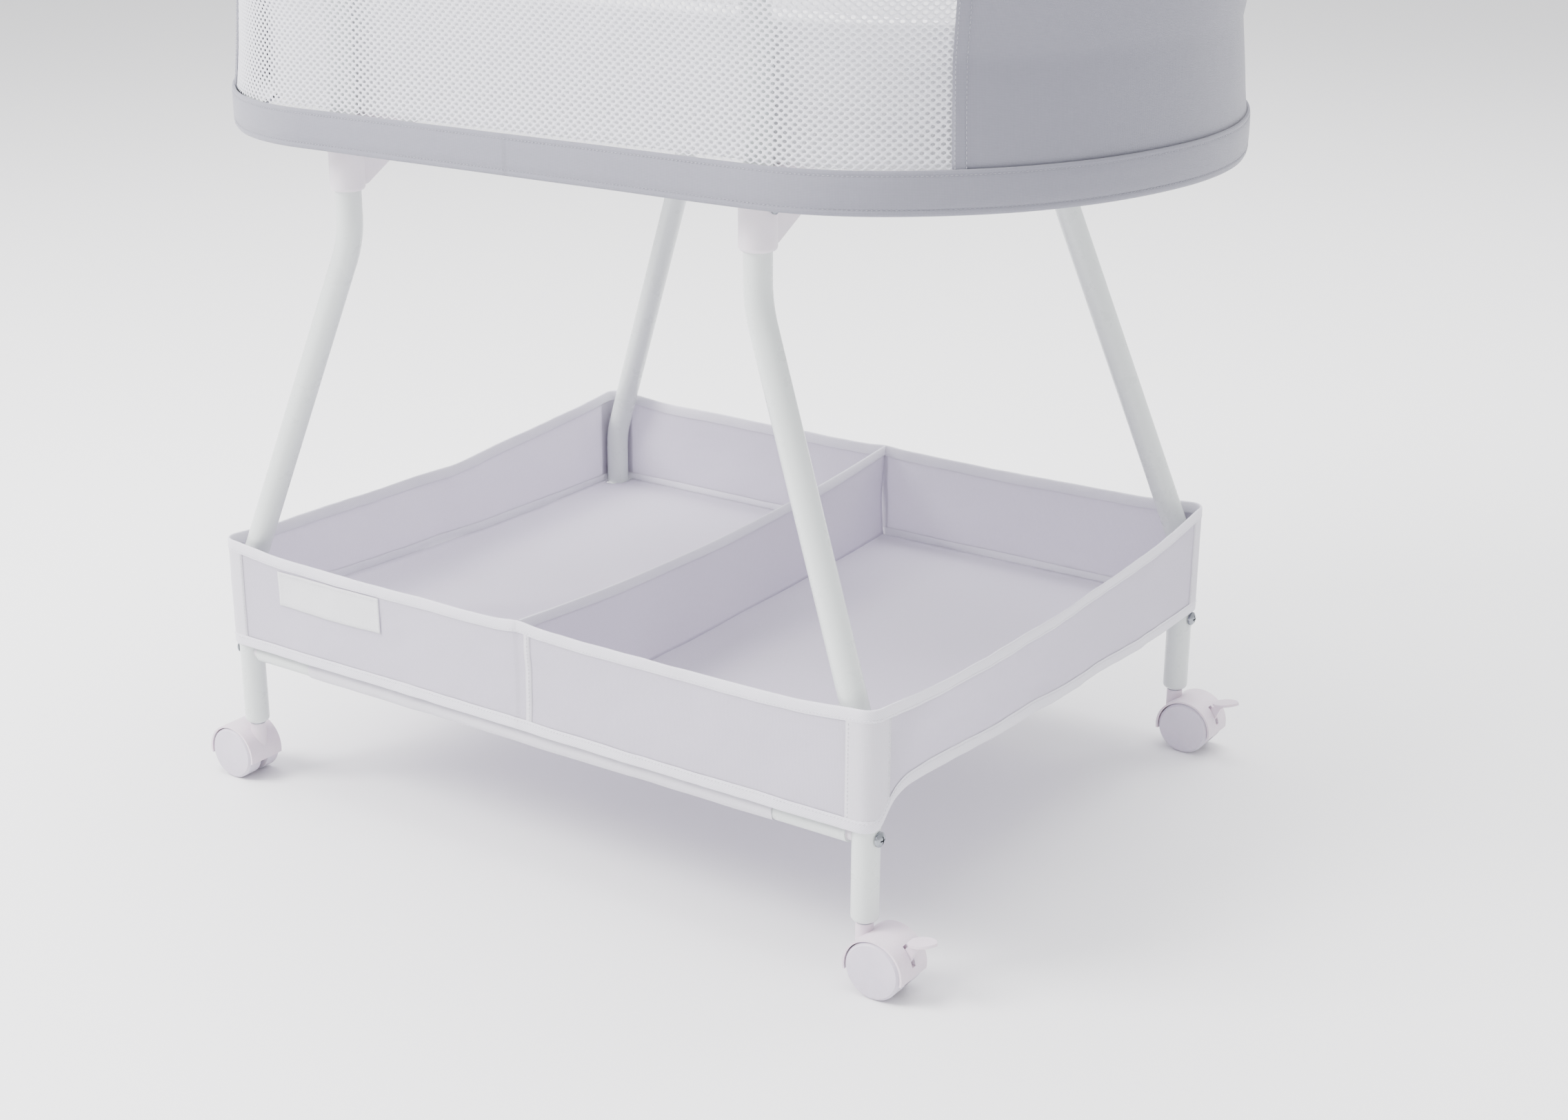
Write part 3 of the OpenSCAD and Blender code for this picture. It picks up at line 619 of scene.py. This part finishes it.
def cloth_band(name, path, points, wobble, seed, step=4.0, thickness=1.0):
    """Closed band of cloth from a profile in millimetres, unevenly tight."""
    base = np.array(points, float)

    def profile(along):
        inset = np.repeat(base[None, :, 0], len(along), 0)
        z = np.repeat(base[None, :, 1], len(along), 0)
        inset = inset + ripple(along[:, None], z * MM, wobble, 0.035, seed)
        z = z + ripple(along[:, None], inset * MM, wobble * 0.8, 0.11, seed + 4)
        return inset * MM, z * MM

    return loft(name, path, path.steps(mm(step)), profile, thickness=mm(thickness))


# lower band
band_profile = [
    (13.2, BAND_Z + 1.4), (8.0, BAND_Z + 1.0), (3.2, BAND_Z + 0.9), (1.3, BAND_Z + 1.3),
    (0.6, BAND_Z + 2.6), (0.35, BAND_Z + 4.4), (0.95, BAND_Z + 5.3), (0.35, BAND_Z + 6.3),
    (0.2, BAND_Z + 12), (0.3, BAND_Z + 19), (0.45, BAND_TOP - 4.4), (0.95, BAND_TOP - 3.4),
    (0.6, BAND_TOP - 2.2), (0.9, BAND_TOP - 0.6), (1.9, BAND_TOP - 0.5), (2.6, BAND_TOP - 2.0)]
band = cloth_band("lower_band_cloth", BED, band_profile, 0.35, 2.0)
round_bed = BED.steps(mm(4))
band_rows = [path_stitches("row", BED, np.append(round_bed, BED.length), mm(0.30), mm(z))
             for z in (BAND_Z + 5.3, BAND_TOP - 3.4)]
band_thread = join("lower_band_stitches", band_rows)

# rim band: padded channel over the top ring
rim_profile = [
    (-18.6, RIM_Z + 1.6), (-19.3, RIM_Z + 0.8), (-19.9, RIM_Z + 2.0), (-20.2, RIM_Z + 4.4),
    (-19.5, RIM_Z + 5.4), (-20.3, RIM_Z + 6.6), (-20.9, RIM_Z + 16), (-20.6, RIM_Z + 27),
    (-19.2, RIM_TOP - 7), (-16.2, RIM_TOP - 2.6), (-11.5, RIM_TOP - 0.5), (-6.5, RIM_TOP - 0.3),
    (-1.5, RIM_TOP - 1.8), (1.9, RIM_TOP - 5.2), (3.2, RIM_TOP - 10), (3.3, RIM_TOP - 16),
    (2.9, RIM_TOP - 19)]
rim = cloth_band("rim_band_cloth", BED, rim_profile, 0.6, 5.0)
rim_thread = path_stitches(
    "rim_band_stitches", BED, np.append(round_bed, BED.length), mm(-20.35), mm(RIM_Z + 5.4))

# walls
knits = [knit_window("mesh_front_knit", 0.0), knit_window("mesh_rear_knit", HALF_ROUND)]
EDGE = REACH + mm(3.9)
panels = [panel("end_panel_right_cloth", REACH - mm(1), HALF_ROUND - REACH + mm(1), 11.0),
          panel("end_panel_left_cloth", HALF_ROUND + REACH - mm(1), BED.length - REACH + mm(1),
                17.0)]
hems = [hem_strip(f"mesh_hem_{tag}", where) for tag, where in (
    ("front_right", EDGE), ("rear_right", HALF_ROUND - EDGE),
    ("rear_left", HALF_ROUND + EDGE), ("front_left", BED.length - EDGE))]

# white liner, seen through the mesh
liner_z = np.array([2.6, 1.2, 1.0, 6, 14, 24, 36, 48, 60, 70, 78, 85, 89.5, 92.5, 94, 93, 90.0])
liner_out = np.array([6.0, 2.2, 0.9, 1.3, 1.5, 1.7, 1.9, 1.9, 1.7, 1.4, 1.1, 0.8, 0.7, 1.0, 1.7,
                      2.3, 2.3])


def liner_profile(along):
    z = LINER_LO.z / MM + liner_z
    inset = np.repeat((liner_out - 4.2)[None, :], len(along), 0)
    puff = 0.55 * np.abs(np.sin(np.pi * along / 0.055))[:, None]
    fade = np.clip((liner_z - 8) / 14, 0, 1) * np.clip((86 - liner_z) / 10, 0, 1)
    inset = inset + (0.5 - puff) * fade[None, :]
    return inset * MM, np.repeat(z[None, :] * MM, len(along), 0)


liner = loft("inner_liner_cloth", PAD, PAD.steps(mm(4)), liner_profile, thickness=mm(0.8))


def flat_oval(name, path, inset, z, step=8.0):
    """Flat cloth cap that fills an outline, as one triangulated face."""
    s = path.steps(mm(step))
    edge = place(path, s, np.full(len(s), mm(inset)), np.full(len(s), z))
    bm = bmesh.new()
    ring = [bm.verts.new(p) for p in edge]
    bm.faces.new(ring)
    bmesh.ops.triangulate(bm, faces=bm.faces[:])
    data = bpy.data.meshes.new(name)
    bm.to_mesh(data)
    bm.free()
    uv = data.uv_layers.new(name="UVMap")
    for loop in data.loops:
        co = data.vertices[loop.vertex_index].co
        uv.data[loop.index].uv = (co.x, co.y)
    obj = bpy.data.objects.new(name, data)
    bpy.context.scene.collection.objects.link(obj)
    thicken(obj, mm(0.9))
    return obj


liner_base = flat_oval("inner_liner_base", PAD, -1.2, LINER_LO.z + mm(1.0))


# ---------------------------------------------------------------- mattress
def pad_mesh(name):
    """Pad: crowned oval block, puffed by a short cloth simulation."""
    s = PAD.steps(mm(7))
    mid = (PAD_LO.z + PAD_HI.z) / 2 / MM
    half = (PAD_HI.z - PAD_LO.z) / 2 / MM - 2.5
    ring = [(60, half), (35, half), (18, half - 0.4), (9, half - 2.0), (4.6, half - 6), (3.6, 0),
            (4.6, 6 - half), (9, 2.0 - half), (18, 0.4 - half), (35, -half), (60, -half)]
    verts, faces, cols = [], [], len(ring)
    for row in s:
        for inset, dz in ring:
            verts.append(place(PAD, np.array([row]), np.array([mm(inset)]),
                               np.array([mm(mid + dz)]))[0])
    faces += grid_faces(len(s), cols, True)
    for side in (0, cols - 1):
        loop = [i * cols + side for i in range(len(s))]
        faces.append(tuple(reversed(loop)) if side == 0 else tuple(loop))
    pad = make(name, verts, faces)
    bm = bmesh.new()
    bm.from_mesh(pad.data)
    bmesh.ops.recalc_face_normals(bm, faces=bm.faces[:])
    bm.to_mesh(pad.data)
    bm.free()
    remesh = pad.modifiers.new("Remesh", "REMESH")
    remesh.mode = "VOXEL"
    remesh.voxel_size = mm(6)
    apply(pad)
    puff(pad, cap=mm(2.2))
    return pad


def puff(obj, cap, pressure=4.0, frames=20):
    """Inflate a closed mesh with Blender's cloth, moving no point further than cap."""
    start = np.array([v.co for v in obj.data.vertices])
    cloth = obj.modifiers.new("Cloth", "CLOTH")
    cloth.settings.use_pressure = True
    cloth.settings.uniform_pressure_force = pressure
    cloth.settings.effector_weights.gravity = 0
    cloth.settings.quality = 5
    scene = bpy.context.scene
    for number in range(1, frames + 1):
        scene.frame_set(number)
    graph = bpy.context.evaluated_depsgraph_get()
    done = np.array([v.co for v in obj.evaluated_get(graph).data.vertices])
    obj.modifiers.clear()
    scene.frame_set(1)
    move = done - start
    far = np.linalg.norm(move, axis=1)
    move *= np.minimum(1.0, cap / np.maximum(far, 1e-9))[:, None]
    for v, co in zip(obj.data.vertices, start + move):
        v.co = co


def quilt(obj):
    """Sewn diamond channels in the pad's top, and its flat underside kept in place."""
    top, low = PAD_HI.z, PAD_LO.z
    for v in obj.data.vertices:
        x, y, z = v.co
        if z > top - mm(9):
            a, b = (x + y) / mm(62), (x - y) / mm(62)
            near = min(abs(a - round(a)), abs(b - round(b))) * 62
            v.co.z -= mm(2.1) * math.exp(-(near / 3.4) ** 2)
        v.co.z = min(max(v.co.z, low + mm(0.2)), top - mm(0.2))
        v.co.x = min(max(v.co.x, PAD_LO.x + mm(0.3)), PAD_HI.x - mm(0.3))
        v.co.y = min(max(v.co.y, PAD_LO.y + mm(0.3)), PAD_HI.y - mm(0.3))


pad = pad_mesh("mattress_pad")
smoother = pad.modifiers.new("Smooth", "SUBSURF")
smoother.levels = smoother.render_levels = 1
apply(pad)
quilt(pad)
pad.data.polygons.foreach_set("use_smooth", [True] * len(pad.data.polygons))


def tube(name, path, inset, z, radius, step=4.0, sides=8):
    """Round piping along an outline."""
    ring = [(inset + radius * math.cos(2 * math.pi * k / sides),
             z + radius * math.sin(2 * math.pi * k / sides)) for k in range(sides + 1)]
    return loft(name, path, path.steps(mm(step)), fixed(ring))


piping = join("mattress_piping", [
    tube("pipe", PAD, 4.4, PAD_HI.z / MM - 5.5, 1.5),
    tube("pipe", PAD, 4.4, PAD_LO.z / MM + 5.5, 1.5)])

# ---------------------------------------------------------------- basket
TAPE_H = 9.5
S_CORNER = BASKET.pieces[0][1]
S_SIDE = S_CORNER + BASKET.pieces[1][1]
SIDE_LEN = BASKET.pieces[2][1]
S_REAR = S_SIDE + SIDE_LEN
S_REAR_RUN = S_REAR + BASKET.pieces[3][1]
REAR_LEN = BASKET.pieces[4][1]
S_LEFT = S_REAR_RUN + REAR_LEN + BASKET.pieces[5][1]
S_LEFT_END = S_LEFT + SIDE_LEN


def basket_edges():
    """Heights of the walls' top and bottom edges, as tables over arc length in metres."""
    front, side, total = S_CORNER, SIDE_LEN, BASKET.length
    mid = S_REAR_RUN + REAR_LEN / 2
    top = [
        (0, 209.6), (mm(14), 207.4), (mm(60), 206.2), (mm(180), 205.8), (front - mm(45), 207.4),
        (front, 211.8), (S_SIDE, 211.8), (S_SIDE + mm(45), 206.5), (S_SIDE + side * 0.3, 200.5),
        (S_SIDE + side * 0.55, 197.5), (S_SIDE + side * 0.8, 201.5), (S_REAR - mm(30), 207.5),
        (S_REAR, 211.5), (S_REAR_RUN, 211.5), (S_REAR_RUN + mm(45), 207.2), (mid - mm(60), 206),
        (mid - mm(14), 207), (mid, 209), (mid + mm(14), 207), (mid + mm(60), 206),
        (S_LEFT - mm(65), 207.2), (S_LEFT - mm(20), 211.5), (S_LEFT, 211.5),
        (S_LEFT + mm(45), 207), (S_LEFT + side * 0.45, 198), (S_LEFT_END - mm(45), 207),
        (S_LEFT_END, 211.8), (total - front, 211.8), (total - front + mm(45), 207.4),
        (total - mm(180), 205.8), (total - mm(60), 206.2), (total - mm(14), 207.4),
        (total, 209.6)]
    low = [
        (0, 121), (mm(150), 120.6), (front, 120.4), (S_SIDE, 121.5), (S_SIDE + mm(10), 135),
        (S_SIDE + mm(28), 142), (S_SIDE + mm(60), 141), (S_SIDE + mm(130), 135),
        (S_SIDE + side * 0.62, 125), (S_SIDE + side * 0.85, 121.4), (S_REAR, 120.8),
        (S_REAR_RUN, 120.6), (mid, 121.5), (S_LEFT, 120.8), (S_LEFT + side * 0.15, 121.4),
        (S_LEFT + side * 0.38, 125), (S_LEFT_END - mm(130), 135), (S_LEFT_END - mm(60), 141),
        (S_LEFT_END - mm(28), 142), (S_LEFT_END - mm(10), 135), (S_LEFT_END, 121.5),
        (total - front, 121.4), (total - mm(150), 122), (total, 121)]
    return top, low


TOP_TABLE, LOW_TABLE = basket_edges()


def smooth_table(table, s, reach=7.0):
    """Line through (arc length, millimetres) pairs with its corners rounded off."""
    x, y = np.array(table).T
    near = [np.interp(np.mod(s + mm(reach) * k / 4, BASKET.length), x, y) for k in range(-4, 5)]
    return np.mean(near, 0)


def top_at(s):
    return smooth_table(TOP_TABLE, s)


def low_at(s):
    return smooth_table(LOW_TABLE, s)


def slack(s):
    """1 in the middle of a wall and 0 at the legs, where the cloth is held."""
    near = np.full(len(s), 1.0)
    for centre in (S_CORNER + mm(10), S_REAR + mm(10), S_LEFT - mm(10), S_LEFT_END + mm(10)):
        near = np.minimum(near, np.clip((np.abs(s - centre) - mm(22)) / mm(70), 0, 1))
    return near * near * (3 - 2 * near)


def bulge(s, f):
    """Inset in mm of the basket wall at arc length s, f from 0 (low) to 1 (top)."""
    held = slack(s)[:, None]
    belly = np.sin(np.pi * np.clip(f, 0, 1))[None, :] ** 0.8
    seam = np.exp(-((np.mod(s + 0.2, BASKET.length) - 0.2) / 0.02) ** 2)[:, None]
    folds = ripple(s[:, None], (f * 0.09)[None, :], 2.6, 0.075, 31.0)
    fine = ripple(s[:, None], (f * 0.09)[None, :], 0.7, 0.021, 37.0)
    return (1.5 + held * (1.6 * belly - 0.8 + folds) * (1 - 0.7 * seam)
            + fine * (0.25 + 0.75 * held) + 1.2 * seam * belly)


def basket_wall(name, start, stop, lift=0.0, closed=False, thickness=0.7):
    """Stretch of basket wall between two arc lengths, lifted outwards by lift mm."""
    f = np.linspace(0, 1, 26)
    s = BASKET.steps(mm(4), start, stop)

    def profile(along):
        low = low_at(along)[:, None] + 1.5
        high = top_at(along)[:, None] - 1.2
        z = low + (high - low) * f[None, :]
        return (bulge(along, f) - lift) * MM, z * MM

    return loft(name, BASKET, s, profile, closed=closed, thickness=mm(thickness))


def tape(name, s, closed, edge, sign):
    """Tape folded over an edge of the wall; sign +1 for the top edge, -1 for the bottom one."""
    fold = [(-0.75, TAPE_H), (-0.95, TAPE_H - 0.6), (-1.0, 5.0), (-0.95, 1.2), (-0.55, 0.25),
            (0.0, 0.0), (0.6, 0.25), (1.0, 1.2), (1.05, 5.0), (1.0, TAPE_H - 0.6),
            (0.8, TAPE_H)]
    out = np.array([p[0] for p in fold])
    down = np.array([p[1] for p in fold])

    def profile(along):
        height = (top_at(along) - low_at(along))[:, None]
        f = down[None, :] / height
        f = 1 - f if sign > 0 else f
        wall = np.stack([bulge(along[i:i + 1], f[i])[0] for i in range(len(along))])
        z = edge(along)[:, None] - sign * down[None, :]
        pucker = ripple(along[:, None], z * MM, 0.25, 0.012, 43.0)
        return (wall + out[None, :] * 1.15 + pucker) * MM, z * MM

    obj = loft(name, BASKET, s, profile, closed=closed)
    line_s = np.append(s, BASKET.length) if closed else s
    at = TAPE_H - 1.9
    f = at / (top_at(line_s) - low_at(line_s))
    f = 1 - f if sign > 0 else f
    wall = np.array([bulge(line_s[i:i + 1], f[i:i + 1])[0, 0] for i in range(len(line_s))])
    row = path_stitches(f"{name}_row", BASKET, line_s, (wall - 1.25) * MM,
                        (edge(line_s) - sign * at) * MM, pitch=2.9, length=2.0)
    return obj, row


walls = basket_wall("basket_walls_cloth", 0, BASKET.length, closed=True)
top_tape, top_row = tape("basket_top_tape", BASKET.steps(mm(4)), True, top_at, 1)
low_tape, low_row = tape("basket_bottom_tape", BASKET.steps(mm(4)), True, low_at, -1)

# whiter doubled cloth round each leg, with its line of stitches
FOOT_X, FOOT_Y = mm(295), mm(246.5)
SLEEVE_HALF, SLEEVE_ROW = mm(20), mm(18)


def upright_row(at_s):
    """Row of stitches up the basket's wall at one arc length."""
    f = np.linspace(0.1, 0.9, 30)
    s = np.full(len(f), at_s)
    inset = bulge(s[:1], f)[0] - 0.95
    z = low_at(s) + (top_at(s) - low_at(s)) * f
    up = np.column_stack([BASKET.at(s)[1], np.zeros(len(f))])
    return stitches("row", place(BASKET, s, inset * MM, z * MM), up)


sleeves, sleeve_rows = [], []
for tag, centre in (("front_right", S_CORNER + mm(10)), ("rear_right", S_REAR + mm(10)),
                    ("rear_left", S_LEFT - mm(10)), ("front_left", S_LEFT_END + mm(10))):
    sleeves.append(basket_wall(f"basket_sleeve_{tag}", centre - SLEEVE_HALF, centre + SLEEVE_HALF,
                               lift=0.62, thickness=0.4))
    sleeve_rows += [upright_row(centre - SLEEVE_ROW), upright_row(centre + SLEEVE_ROW)]
for seam_s in (mm(9), S_REAR_RUN + REAR_LEN / 2):
    sleeves.append(basket_wall(f"basket_seam_{len(sleeves)}", seam_s - mm(3), seam_s + mm(3),
                               lift=0.5, thickness=0.5))
    sleeve_rows.append(upright_row(seam_s))
basket_thread = join("basket_stitches", [top_row, low_row] + sleeve_rows)


def basket_base(name):
    """Floor cloth that dips a little between the rails, gathered at its edges."""
    half_x, half_y = WALL_HI.x - mm(2.4), -WALL_LO.y - mm(2.6)
    xs, ys = np.linspace(-half_x, half_x, 124), np.linspace(-half_y, half_y, 90)
    level = FLOOR_HI.z - mm(0.5)
    verts, uvs = [], []
    for x in xs:
        for y in ys:
            fx, fy = 1 - (x / half_x) ** 2, 1 - (y / half_y) ** 2
            seam = math.exp(-(x / mm(14)) ** 2)
            sag = mm(5.5) * min(fx, 1) ** 0.7 * fy ** 0.8 * (1 - 0.35 * seam)
            crease = noise.noise(Vector((x / 0.07, y / 0.07, 51.0))) * mm(1.4) * min(fx, fy)
            s_side = S_SIDE + y + SIDE_LEN / 2 if x > 0 else S_LEFT + SIDE_LEN / 2 - y
            hem = float(low_at(np.array([s_side]))[0]) * MM + mm(1.6)
            to_wall = max(0.0, 1 - (half_x - abs(x)) / mm(46)) ** 2.2
            rise = max(0.0, hem - level) * to_wall
            verts.append((x, y, level - sag + crease + rise))
            uvs.append((x, y))
    faces = grid_faces(len(xs), len(ys), False)
    keep = []
    leg_hole = mm(11.5)
    for face in faces:
        cx = sum(verts[i][0] for i in face) / 4
        cy = sum(verts[i][1] for i in face) / 4
        if math.hypot(abs(cx) - FOOT_X, abs(cy) - FOOT_Y) > leg_hole:
            keep.append(face)
    used = sorted({i for face in keep for i in face})
    index = {old: new for new, old in enumerate(used)}
    obj = make(name, [verts[i] for i in used], [tuple(index[i] for i in f) for f in keep],
               [uvs[i] for i in used])
    thicken(obj, mm(0.8))
    return obj


def rail_sleeve(name, sign):
    """Cloth sleeve round a base rail, creased along its length and gathered at its ends."""
    half, sides = mm(223), 20
    centre_z = (RAIL_LO.z + RAIL_HI.z) / 2
    radius = (RAIL_HI.z - RAIL_LO.z) / 2
    verts, uvs = [], []
    xs = np.linspace(-half, half, 120)
    for x in xs:
        end = max(0.0, 1 - (half - abs(x)) / mm(9))
        for k in range(sides + 1):
            a = 2 * math.pi * k / sides
            loose = 0.9 + 0.5 * noise.noise(Vector((x / 0.03, math.cos(a), math.sin(a) + 60)))
            gather = end * 0.5 * math.sin(7 * a)
            r = radius + mm(loose + gather * 0.5)
            verts.append((x, sign * FOOT_Y + r * math.cos(a), centre_z + r * math.sin(a)))
            uvs.append((x, r * a))
    return make(name, verts, grid_faces(len(xs), sides + 1, False), uvs)


def divider(name):
    """Cloth across the basket, its top edge sagging in the middle, with its own tape."""
    ys = np.linspace(DIV_LO.y + mm(2), DIV_HI.y - mm(2), 110)
    fs = np.linspace(0, 1, 22)
    base, top = FLOOR_HI.z + mm(0.4), DIV_HI.z - mm(0.5)
    half = DIV_HI.y
    verts, uvs = [], []

    def bend(y, f):
        return mm(5) * noise.noise(Vector((y / 0.11, f * 1.3, 71.0))) * math.sin(math.pi * f) ** 0.5

    def edge(y):
        return top - mm(12) * (1 - (y / half) ** 2)

    for y in ys:
        dip = mm(5) * (1 - (y / half) ** 2)
        for f in fs:
            z = base - dip + (edge(y) - base + dip) * f
            verts.append((bend(y, f), y, z))
            uvs.append((y, z))
    cloth = make(name, verts, grid_faces(len(ys), len(fs), False), uvs)
    thicken(cloth, mm(0.7))
    verts, uvs = [], []
    fold = [(-0.7, 8.5), (-0.95, 7.6), (-0.95, 1.0), (-0.5, 0.2), (0, 0), (0.5, 0.2), (0.95, 1.0),
            (0.95, 7.6), (0.7, 8.5)]
    for y in ys:
        for a, b in fold:
            f = 1 - mm(b) / (edge(y) - base)
            verts.append((bend(y, f) + mm(a), y, edge(y) + mm(0.3 - b)))
            uvs.append((y, mm(b + a)))
    return cloth, make(f"{name}_tape", verts, grid_faces(len(ys), len(fold), False), uvs)


base_cloth = basket_base("basket_floor_cloth")
rail_sleeves = [rail_sleeve("rail_sleeve_front", -1), rail_sleeve("rail_sleeve_rear", 1)]
div_cloth, div_tape = divider("basket_divider_cloth")


def label(name):
    """Blank woven label sewn to the front wall, following it."""
    low_x, high_x = TAG_LO.x, TAG_HI.x
    xs = np.linspace(low_x, high_x, 56)
    fz = np.linspace(0, 1, 18)
    s = np.mod(xs, BASKET.length)
    low_w, high_w = low_at(s), top_at(s)
    verts, uvs = [], []
    for i, x in enumerate(xs):
        z = TAG_LO.z / MM + (TAG_HI.z - TAG_LO.z) / MM * fz
        f = (z - low_w[i]) / (high_w[i] - low_w[i])
        wall = bulge(s[i:i + 1], f)[0]
        border = min(x - low_x, high_x - x) < mm(2.6)
        for k, height in enumerate(z):
            edge = border or k in (0, 1, len(z) - 2, len(z) - 1)
            lift = 0.85 + (0.35 if edge else 0.0)
            lift += 0.25 * noise.noise(Vector((x / 0.02, height / 20, 83.0)))
            verts.append((x, WALL_LO.y + mm(wall[k] - lift), mm(height)))
            uvs.append((x, mm(height)))
    tag = make(name, verts, grid_faces(len(xs), len(fz), False), uvs)
    thicken(tag, mm(0.35))
    rows = []
    for z in (TAG_LO.z + mm(2.2), TAG_HI.z - mm(2.2)):
        pts = []
        for i, x in enumerate(xs):
            f = (z / MM - low_w[i]) / (high_w[i] - low_w[i])
            pts.append((x, WALL_LO.y + mm(bulge(s[i:i + 1], np.array([f]))[0, 0] - 1.45), z))
        rows.append(stitches("row", pts, [(0, -1, 0)] * len(pts), pitch=2.4, length=1.6))
    return tag, join(f"{name}_stitches", rows)


tag_cloth, tag_thread = label("basket_tag_cloth")

# ---------------------------------------------------------------- ride, replace
dress(band, GREY)
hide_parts("lower_band")
dress(band_thread, GREY_THREAD)

dress(rim, GREY)
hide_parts("rim_band")
dress(rim_thread, GREY_THREAD)

for knit, node in zip(knits, ("mesh_front", "mesh_rear")):
    dress(knit, KNIT)
    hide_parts(node)
for strip, thread_row in hems:
    dress(strip, GREY)
    dress(thread_row, GREY_THREAD)
for cloth, node, pair in zip(panels, ("end_panel_right", "end_panel_left"),
                             ((0, 1), (2, 3))):
    dress(cloth, GREY)
    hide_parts(node)

dress(liner, LINER)
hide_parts("inner_liner")
dress(liner_base, LINER)
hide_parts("liner_base")

dress(pad, COVER, "mattress")
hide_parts("mattress")
dress(piping, TAPE, "mattress")

dress(walls, BASKET_CLOTH)
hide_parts("basket_wall_front", "basket_wall_rear", "basket_wall_left",
            "basket_wall_right")
for sleeve in sleeves:
    dress(sleeve, SLEEVE_CLOTH)
for strip in (top_tape, low_tape):
    dress(strip, TAPE)
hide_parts("basket_binding")
dress(basket_thread, WHITE_THREAD)
dress(base_cloth, BASKET_CLOTH)
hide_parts("basket_floor")
for sleeve in rail_sleeves:
    dress(sleeve, SLEEVE_CLOTH)
dress(div_cloth, BASKET_CLOTH)
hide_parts("basket_divider")
dress(div_tape, TAPE)
dress(tag_cloth, SATIN)
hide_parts("basket_tag")
dress(tag_thread, WHITE_THREAD)

# ---------------------------------------------------------------- CAD node materials
slot_of = {p["node"]: p["material_slot"] for p in frame["record"]["subparts"]}
for node, obj in frame["nodes"].items():
    mat = NODE_MATERIAL[slot_of[node]]
    if node.startswith(("hood_", "brake_")):
        mat = CASTER
    for slot_index in range(max(1, len(obj.material_slots))):
        if not obj.material_slots:
            obj.data.materials.append(mat)
        obj.material_slots[slot_index].link = "OBJECT"
        obj.material_slots[slot_index].material = mat

# ---------------------------------------------------------------- stage, light, camera
floor_data = bpy.data.meshes.new("floor")
floor_data.from_pydata([(-6, -6, 0), (6, -6, 0), (6, 6, 0), (-6, 6, 0)], [], [(0, 1, 2, 3)])
floor = bpy.data.objects.new("floor", floor_data)
bpy.context.scene.collection.objects.link(floor)
ground = Shader("floor")
ground.set(Base_Color=(0.90, 0.90, 0.91), Roughness=0.6)
ground.set(Normal=ground.bump(ground.noise(ground.coords("Object"), 90.0), 0.0002, 0.15))
floor.data.materials.append(ground.mat)

world = bpy.data.worlds.new("studio")
bpy.context.scene.world = world
world.use_nodes = True
world.node_tree.nodes["Background"].inputs["Color"].default_value = (0.98, 0.98, 1.0, 1)
world.node_tree.nodes["Background"].inputs["Strength"].default_value = 1.25


def lamp(name, place_at, aim, size, power, colour):
    data = bpy.data.lights.new(name, "AREA")
    data.shape = "SQUARE"
    data.size, data.energy, data.color = size, power, colour
    obj = bpy.data.objects.new(name, data)
    obj.location = place_at
    way = Vector(aim) - Vector(place_at)
    obj.rotation_euler = way.to_track_quat("-Z", "Y").to_euler()
    bpy.context.scene.collection.objects.link(obj)


lamp("key", (-1.9, -2.1, 2.7), (0, 0, 0.3), 1.6, 260, (1.0, 0.985, 0.97))
lamp("top", (-0.2, 0.2, 3.4), (0, 0, 0), 2.8, 230, (1.0, 1.0, 1.0))
lamp("back", (0.9, 2.6, 2.3), (0, 0, 0.5), 1.6, 40, (1.0, 0.99, 0.98))

YAW, PITCH, ROLL = 0.6441, 0.359, 0.0154
ahead = Vector((-math.sin(YAW) * math.cos(PITCH), math.cos(YAW) * math.cos(PITCH),
                -math.sin(PITCH)))
across = Vector((math.cos(YAW), math.sin(YAW), 0))
down = ahead.cross(across)
image_x = math.cos(ROLL) * across + math.sin(ROLL) * down
image_y = -math.sin(ROLL) * across + math.cos(ROLL) * down
camera_data = bpy.data.cameras.new("camera")
camera_data.lens, camera_data.sensor_width = 54.85, 36
camera_data.shift_x, camera_data.shift_y = 0.081, 0.0099
camera_data.clip_start = 0.05
camera = bpy.data.objects.new("camera", camera_data)
bpy.context.scene.collection.objects.link(camera)
camera.matrix_world = Matrix.Translation((1.0592, -1.4965, 0.8524)) @ Matrix((
    (image_x.x, -image_y.x, -ahead.x, 0), (image_x.y, -image_y.y, -ahead.y, 0),
    (image_x.z, -image_y.z, -ahead.z, 0), (0, 0, 0, 1)))
bpy.context.scene.camera = camera
